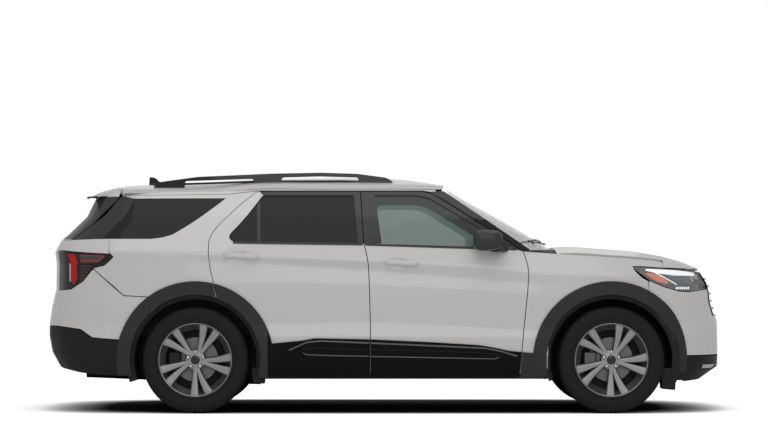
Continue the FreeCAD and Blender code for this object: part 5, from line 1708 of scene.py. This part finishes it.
MIRROR_AT = (0.748, 1.050, 1.258)
for side_name, side in SIDES.items():
    mirror = Piece("mirror_shell_" + side_name)
    mirror.grid(mirror_points(side, MIRROR_AT, (0.112, 0.082, 0.080)), 0, True, False)
    foot = np.array([(0.800, 1.000, 1.196), (0.830, 0.965, 1.190), (0.860, 0.925, 1.190),
                     (0.868, 0.902, 1.194)]) * np.array([1.0, side, 1.0])
    bar(mirror, foot, 0.046, 0.018, 24, 3.4)
    rim = mirror_points(side, (0.683, 1.050, 1.258), (0.010, 0.064, 0.060), 4.2, 0.0)
    mirror.grid(rim, 1, True, False)
    mirror.make("front_door_" + side_name, "black_trim", [FRAME_BLACK, MIRROR_GLASS],
                ["mirror_" + side_name])

# %% [markdown]
# The wipers lie parked at the foot of the windscreen. The glass curves two ways, so their
# paths are read from its line in side view and from how far it moves back off centre.


# %% Wipers
def screen_point(x, y, lift):
    """A point over the windscreen: its line in side view moves back off centre.

    x loses back(x)·(y / 0.86)², and z follows the line plus the lift.
    """
    xs = np.array([0.462, 0.520, 0.640, 0.800, 0.960, 1.110, 1.215, 1.262])
    zs = np.array([1.650, 1.622, 1.553, 1.467, 1.378, 1.290, 1.226, 1.196])
    back = np.array([0.050, 0.065, 0.095, 0.130, 0.165, 0.205, 0.235, 0.250])
    share = (y / 0.860) ** 2
    return np.stack([x - np.interp(x, xs, back) * share, y,
                     np.interp(x, xs, zs) + lift + 0 * y], -1)


wipers = Piece("wipers")
for start, end in ((0.08, 0.66), (-0.62, -0.06)):
    t = np.linspace(0, 1, 24)
    blade = screen_point(1.185 - 0.020 * np.sin(np.pi * t), start + (end - start) * t, 0.012)
    bar(wipers, blade, 0.006, 0.008, 12)
    arm = screen_point(1.222 - 0.035 * t, start + (end - start) * t * 0.5, 0.022)
    bar(wipers, arm, 0.011 - 0.005 * t, 0.006, 12)
wipers.make("body", "black_trim", [FRAME_BLACK])

# %% [markdown]
# Seats are padded, and they are the one soft thing here. Each pad is a superellipsoid: its
# faces are nearly flat with round corners, a crown adds a few millimetres in the middle, and
# sewn channels press it back in along lines. The cloth is a bump of two crossed waves.


# %% Seat cloth
def cloth_finish():
    """Dark woven cloth: two crossed waves, with a slow change of tone."""
    finish = Finish("seat_cloth", (0.035, 0.036, 0.040), 0.9, Sheen_Weight=0.3,
                    Sheen_Roughness=0.5)
    warp = (finish.axis("x") * 2600.0 + finish.axis("z") * 2600.0).math("SINE")
    weft = (finish.axis("y") * 2600.0).math("SINE")
    weave = warp * weft * 0.5 + 0.5
    tone = finish.noise(6.0)
    finish.set(Base_Color=finish.mix(tone * 0.5 + weave * 0.5, (0.026, 0.027, 0.030),
                                     (0.048, 0.050, 0.055)))
    finish.bump(weave, 0.35, 0.0004)
    return finish.material


CLOTH = cloth_finish()
print("weave repeats every", round(2 * math.pi / 2600.0, 4), "m")

# %% [markdown]
# A pad could be a simulated cushion, but these show only through glass and open doors, where
# a crown and sewn channels are all that the eye finds.


# %% Pads
def pad_points(centre, half, lean, seams=(), power=5.0, crown=0.012):
    """A superellipsoid with a crown and sewn channels, leant about the axis across the car.

    half is (along, across, thick). The crown adds crown·(1 - x²)·(1 - y²) to both faces.
    seams are offsets across where the cloth is sewn down: each takes 9 mm times
    exp(-((y - seam) / 8 mm)²) away.
    """
    x, y, z = superellipsoid(power, 96, 49)
    bulge = crown * (1 - x ** 2).clip(0) * (1 - y ** 2).clip(0) * np.sign(z)
    pull = 1 - 0.03 * (np.abs(x) * np.abs(y)) ** 3
    across = half[1] * y * pull
    thick = half[2] * z + bulge
    for seam in seams:
        thick = thick - np.sign(z) * 0.009 * np.exp(-((across - seam) / 0.008) ** 2)
    edge = np.exp(-(np.abs(z) / 0.05) ** 2) * 0.004
    points = np.stack([(half[0] - edge) * x * pull, across, thick], -1)
    c, s = math.cos(lean), math.sin(lean)
    turned = np.stack([points[..., 0] * c + points[..., 2] * s, points[..., 1],
                       -points[..., 0] * s + points[..., 2] * c], -1)
    return turned + np.array(centre)


# %% [markdown]
# A seat is a cushion, a back and its headrests, each a padded piece, on a hard plinth.


# %% Cushions and seats
def pad(name, centre, half, lean, seams=(), power=5.0, crown=0.012, replaces=()):
    """A cushion as a padded piece in cloth."""
    points = pad_points(centre, half, lean, seams, power, crown)
    thing = Piece(name).grid(points, 0, True, False).make("body", "seat_fabric", [CLOTH],
                                                          replaces)


def seat(name, hip, base, half, centre, heads, seams, replaces=()):
    """Cushion, back and headrests of one seat, over the place its solid holds."""
    pad(name + "_cushion", (hip + 0.275, centre, base + 0.215), (0.255, half, 0.075), 0.05,
        seams, replaces=replaces)
    plinth = pad_points((hip + 0.260, centre, base + 0.075), (0.215, half - 0.03, 0.076), 0.0,
                        (), 9.0, 0.0)
    Piece(name + "_plinth").grid(plinth, 0, True, False).make("body", "cabin_plastic", [CABIN])
    pad(name + "_back", (hip - 0.075, centre, base + 0.520), (0.070, half, 0.330), -0.27,
        seams, power=4.5)
    for k, offset in enumerate(heads):
        pad("%s_head_%d" % (name, k + 1), (hip - 0.190, centre + offset, base + 0.935),
            (0.045, 0.118, 0.085), -0.12, (), 3.6, 0.006)


# %% [markdown]
# There are three rows: two seats, a bench for three and a low bench behind it. Each takes the
# place that the model's seat solids hold.

# %% Seats
FLOOR_TOP = 0.2903
seat("seat_front_right", 0.010, FLOOR_TOP, 0.245, -0.380, [0.0], (-0.13, 0.13), ["seats"])
seat("seat_front_left", 0.010, FLOOR_TOP, 0.245, 0.380, [0.0], (-0.13, 0.13))
seat("bench_middle", -0.880, FLOOR_TOP, 0.630, 0.0, [-0.42, 0.0, 0.42],
     (-0.30, -0.10, 0.10, 0.30))
pad("bench_rear_cushion", (-1.530, 0.0, 0.690), (0.125, 0.530, 0.075), 0.03, (-0.2, 0.2))
pad("bench_rear_back", (-1.712, 0.0, 0.975), (0.048, 0.530, 0.200), -0.17, (-0.2, 0.2),
    power=4.5)

# %% [markdown]
# The steering wheel keeps the model's form and turns with its own body.

# %% Steering wheel
dressed("steering_wheel", "steering_rim", "cabin_plastic", [CABIN], None, "steering_wheel",
        40.0)

# %% [markdown]
# The floor is pale and wide, as in a studio. More light would make it white but would also
# wash out the car, so it only looks white to the camera: for camera rays it adds a second
# share of what it reflects, and its shadow stays. Right under the car it carries a painted
# shadow.

# %% Floor
FLOOR_SIZE = 60.0
FLOOR_SHADE = (0.80, 0.80, 0.80)
# The colour of the painted shadow under the car.
PAINTED_SHADOW_TINT = (0.02, 0.02, 0.02)


def white_floor_with_painted_shadow(name, colour):
    """A pale floor that looks brighter to the camera alone, so that only its shadow shows.

    Right under the car a painted shadow tints the floor dark, as a studio floor looks where no
    lamp gets: 1 - ((x/2.62)^4 + ((y-0.36)/1.38)^4), made steeper, is the share of the painted
    shadow.
    """
    finish = Finish(name, colour, 0.9, Specular_IOR_Level=0.0)
    x, y = finish.axis("x") * (1 / 2.62), (finish.axis("y") - 0.36) * (1 / 1.38)
    x, y = x * x, y * y
    # under is the share of the painted shadow.
    under = ((x * x + y * y) * -1.7 + 1.7).math("MAXIMUM", 0.0).math("MINIMUM", 1.0)
    finish.set(Base_Color=finish.mix(under, colour, PAINTED_SHADOW_TINT))
    extra = finish.node("BsdfPrincipled", Roughness=1.0, Specular_IOR_Level=0.0,
                        Base_Color=finish.mix(under, (1.0, 1.0, 1.0), PAINTED_SHADOW_TINT))
    plain = Wire(finish.tree, finish.shader.outputs[0])
    both, swap = finish.node("AddShader"), finish.node("MixShader")
    for shader, wires in ((both, (plain, extra)),
                          (swap, (finish.node("LightPath"), plain, both))):
        for slot, wire in zip(shader.socket.node.inputs, wires):
            connect(finish.tree, slot, wire)
    connect(finish.tree, finish.tree.nodes["Material Output"].inputs["Surface"], swap)
    return finish.material


floor_mesh = bpy.data.meshes.new("floor")
floor_mesh.from_pydata([(-FLOOR_SIZE, -FLOOR_SIZE, 0), (FLOOR_SIZE, -FLOOR_SIZE, 0),
                        (FLOOR_SIZE, FLOOR_SIZE, 0), (-FLOOR_SIZE, FLOOR_SIZE, 0)], [],
                       [(0, 1, 2, 3)])
floor = in_scene("floor", floor_mesh)
floor_mesh.materials.append(white_floor_with_painted_shadow("floor_white_painted_shadow", FLOOR_SHADE))
print("the floor is", 2 * FLOOR_SIZE, "m wide")

# %% [markdown]
# The world is the studio's tent: it lights the car softly from all sides. What the camera
# sees of it directly, or through glass, is white. What the car mirrors is a little dimmer.

# %% World
world = bpy.data.worlds.new("studio")
bpy.context.scene.world = world
world.use_nodes = True
tree = world.node_tree
back = tree.nodes["Background"]
back.inputs["Color"].default_value = (1, 1, 1, 1)
paths = tree.nodes.new("ShaderNodeLightPath")
seen = Wire(tree, paths.outputs["Is Camera Ray"])
shine = Wire(tree, paths.outputs["Is Glossy Ray"])
through = Wire(tree, paths.outputs["Is Transmission Ray"])
AMBIENT, GLOSS = 0.56, 0.50
other = (seen.math("MAXIMUM", through)) * -1.0 + 1.0
strength = other * (shine * (GLOSS - AMBIENT) + AMBIENT) + (1.0 - other)
connect(tree, back.inputs["Strength"], strength)
print("ambient strength", AMBIENT)

# %% [markdown]
# Three wide lamps give the tent a direction: one over the car, one behind the camera and a
# faint one on the far side. Wide lamps make soft shadows, as the panels of a studio do.


# %% Lamps
def lamp(name, place, target, size, power):
    """A soft square lamp that points at a place."""
    data = bpy.data.lights.new(name, "AREA")
    data.shape, data.size, data.energy = "SQUARE", size, power
    thing = in_scene(name, data)
    thing.location = place
    thing.rotation_euler = (Vector(target) - Vector(place)).to_track_quat("-Z", "Y").to_euler()


lamp("over", (0, -2.5, 7.5), (0, 0, 0.8), 7.0, 170)
lamp("side", (1.0, -11.0, 4.5), (0, 0, 0.8), 6.0, 125)
lamp("far", (0, 9.0, 5.0), (0, 0, 0.8), 6.0, 30)
print("lamps", len(bpy.data.lights))

# %% [markdown]
# The camera stands far away at the height of the headlamps with a long lens, so the car shows
# in near side view. It stays level and its picture is shifted instead, because a tilted
# camera would make upright lines lean.

# %% Camera
CAMERA = (0.0, -22.48, 0.971)
FOCAL_LENGTH, SENSOR = 138.8, 36.0
PICTURE_WIDTH, PICTURE_MIDDLE, HORIZON_ROW = 768.0, 212.5, 280.0
camera_data = bpy.data.cameras.new("camera")
camera_data.lens, camera_data.sensor_width = FOCAL_LENGTH, SENSOR
camera_data.shift_y = (HORIZON_ROW - PICTURE_MIDDLE) / PICTURE_WIDTH
camera_data.clip_end = 200.0
camera = in_scene("camera", camera_data)
camera.location = CAMERA
camera.rotation_euler = (math.radians(90), 0, 0)
bpy.context.scene.camera = camera
bpy.context.scene.view_settings.view_transform = "Standard"
print("camera shift", round(camera_data.shift_y, 4))
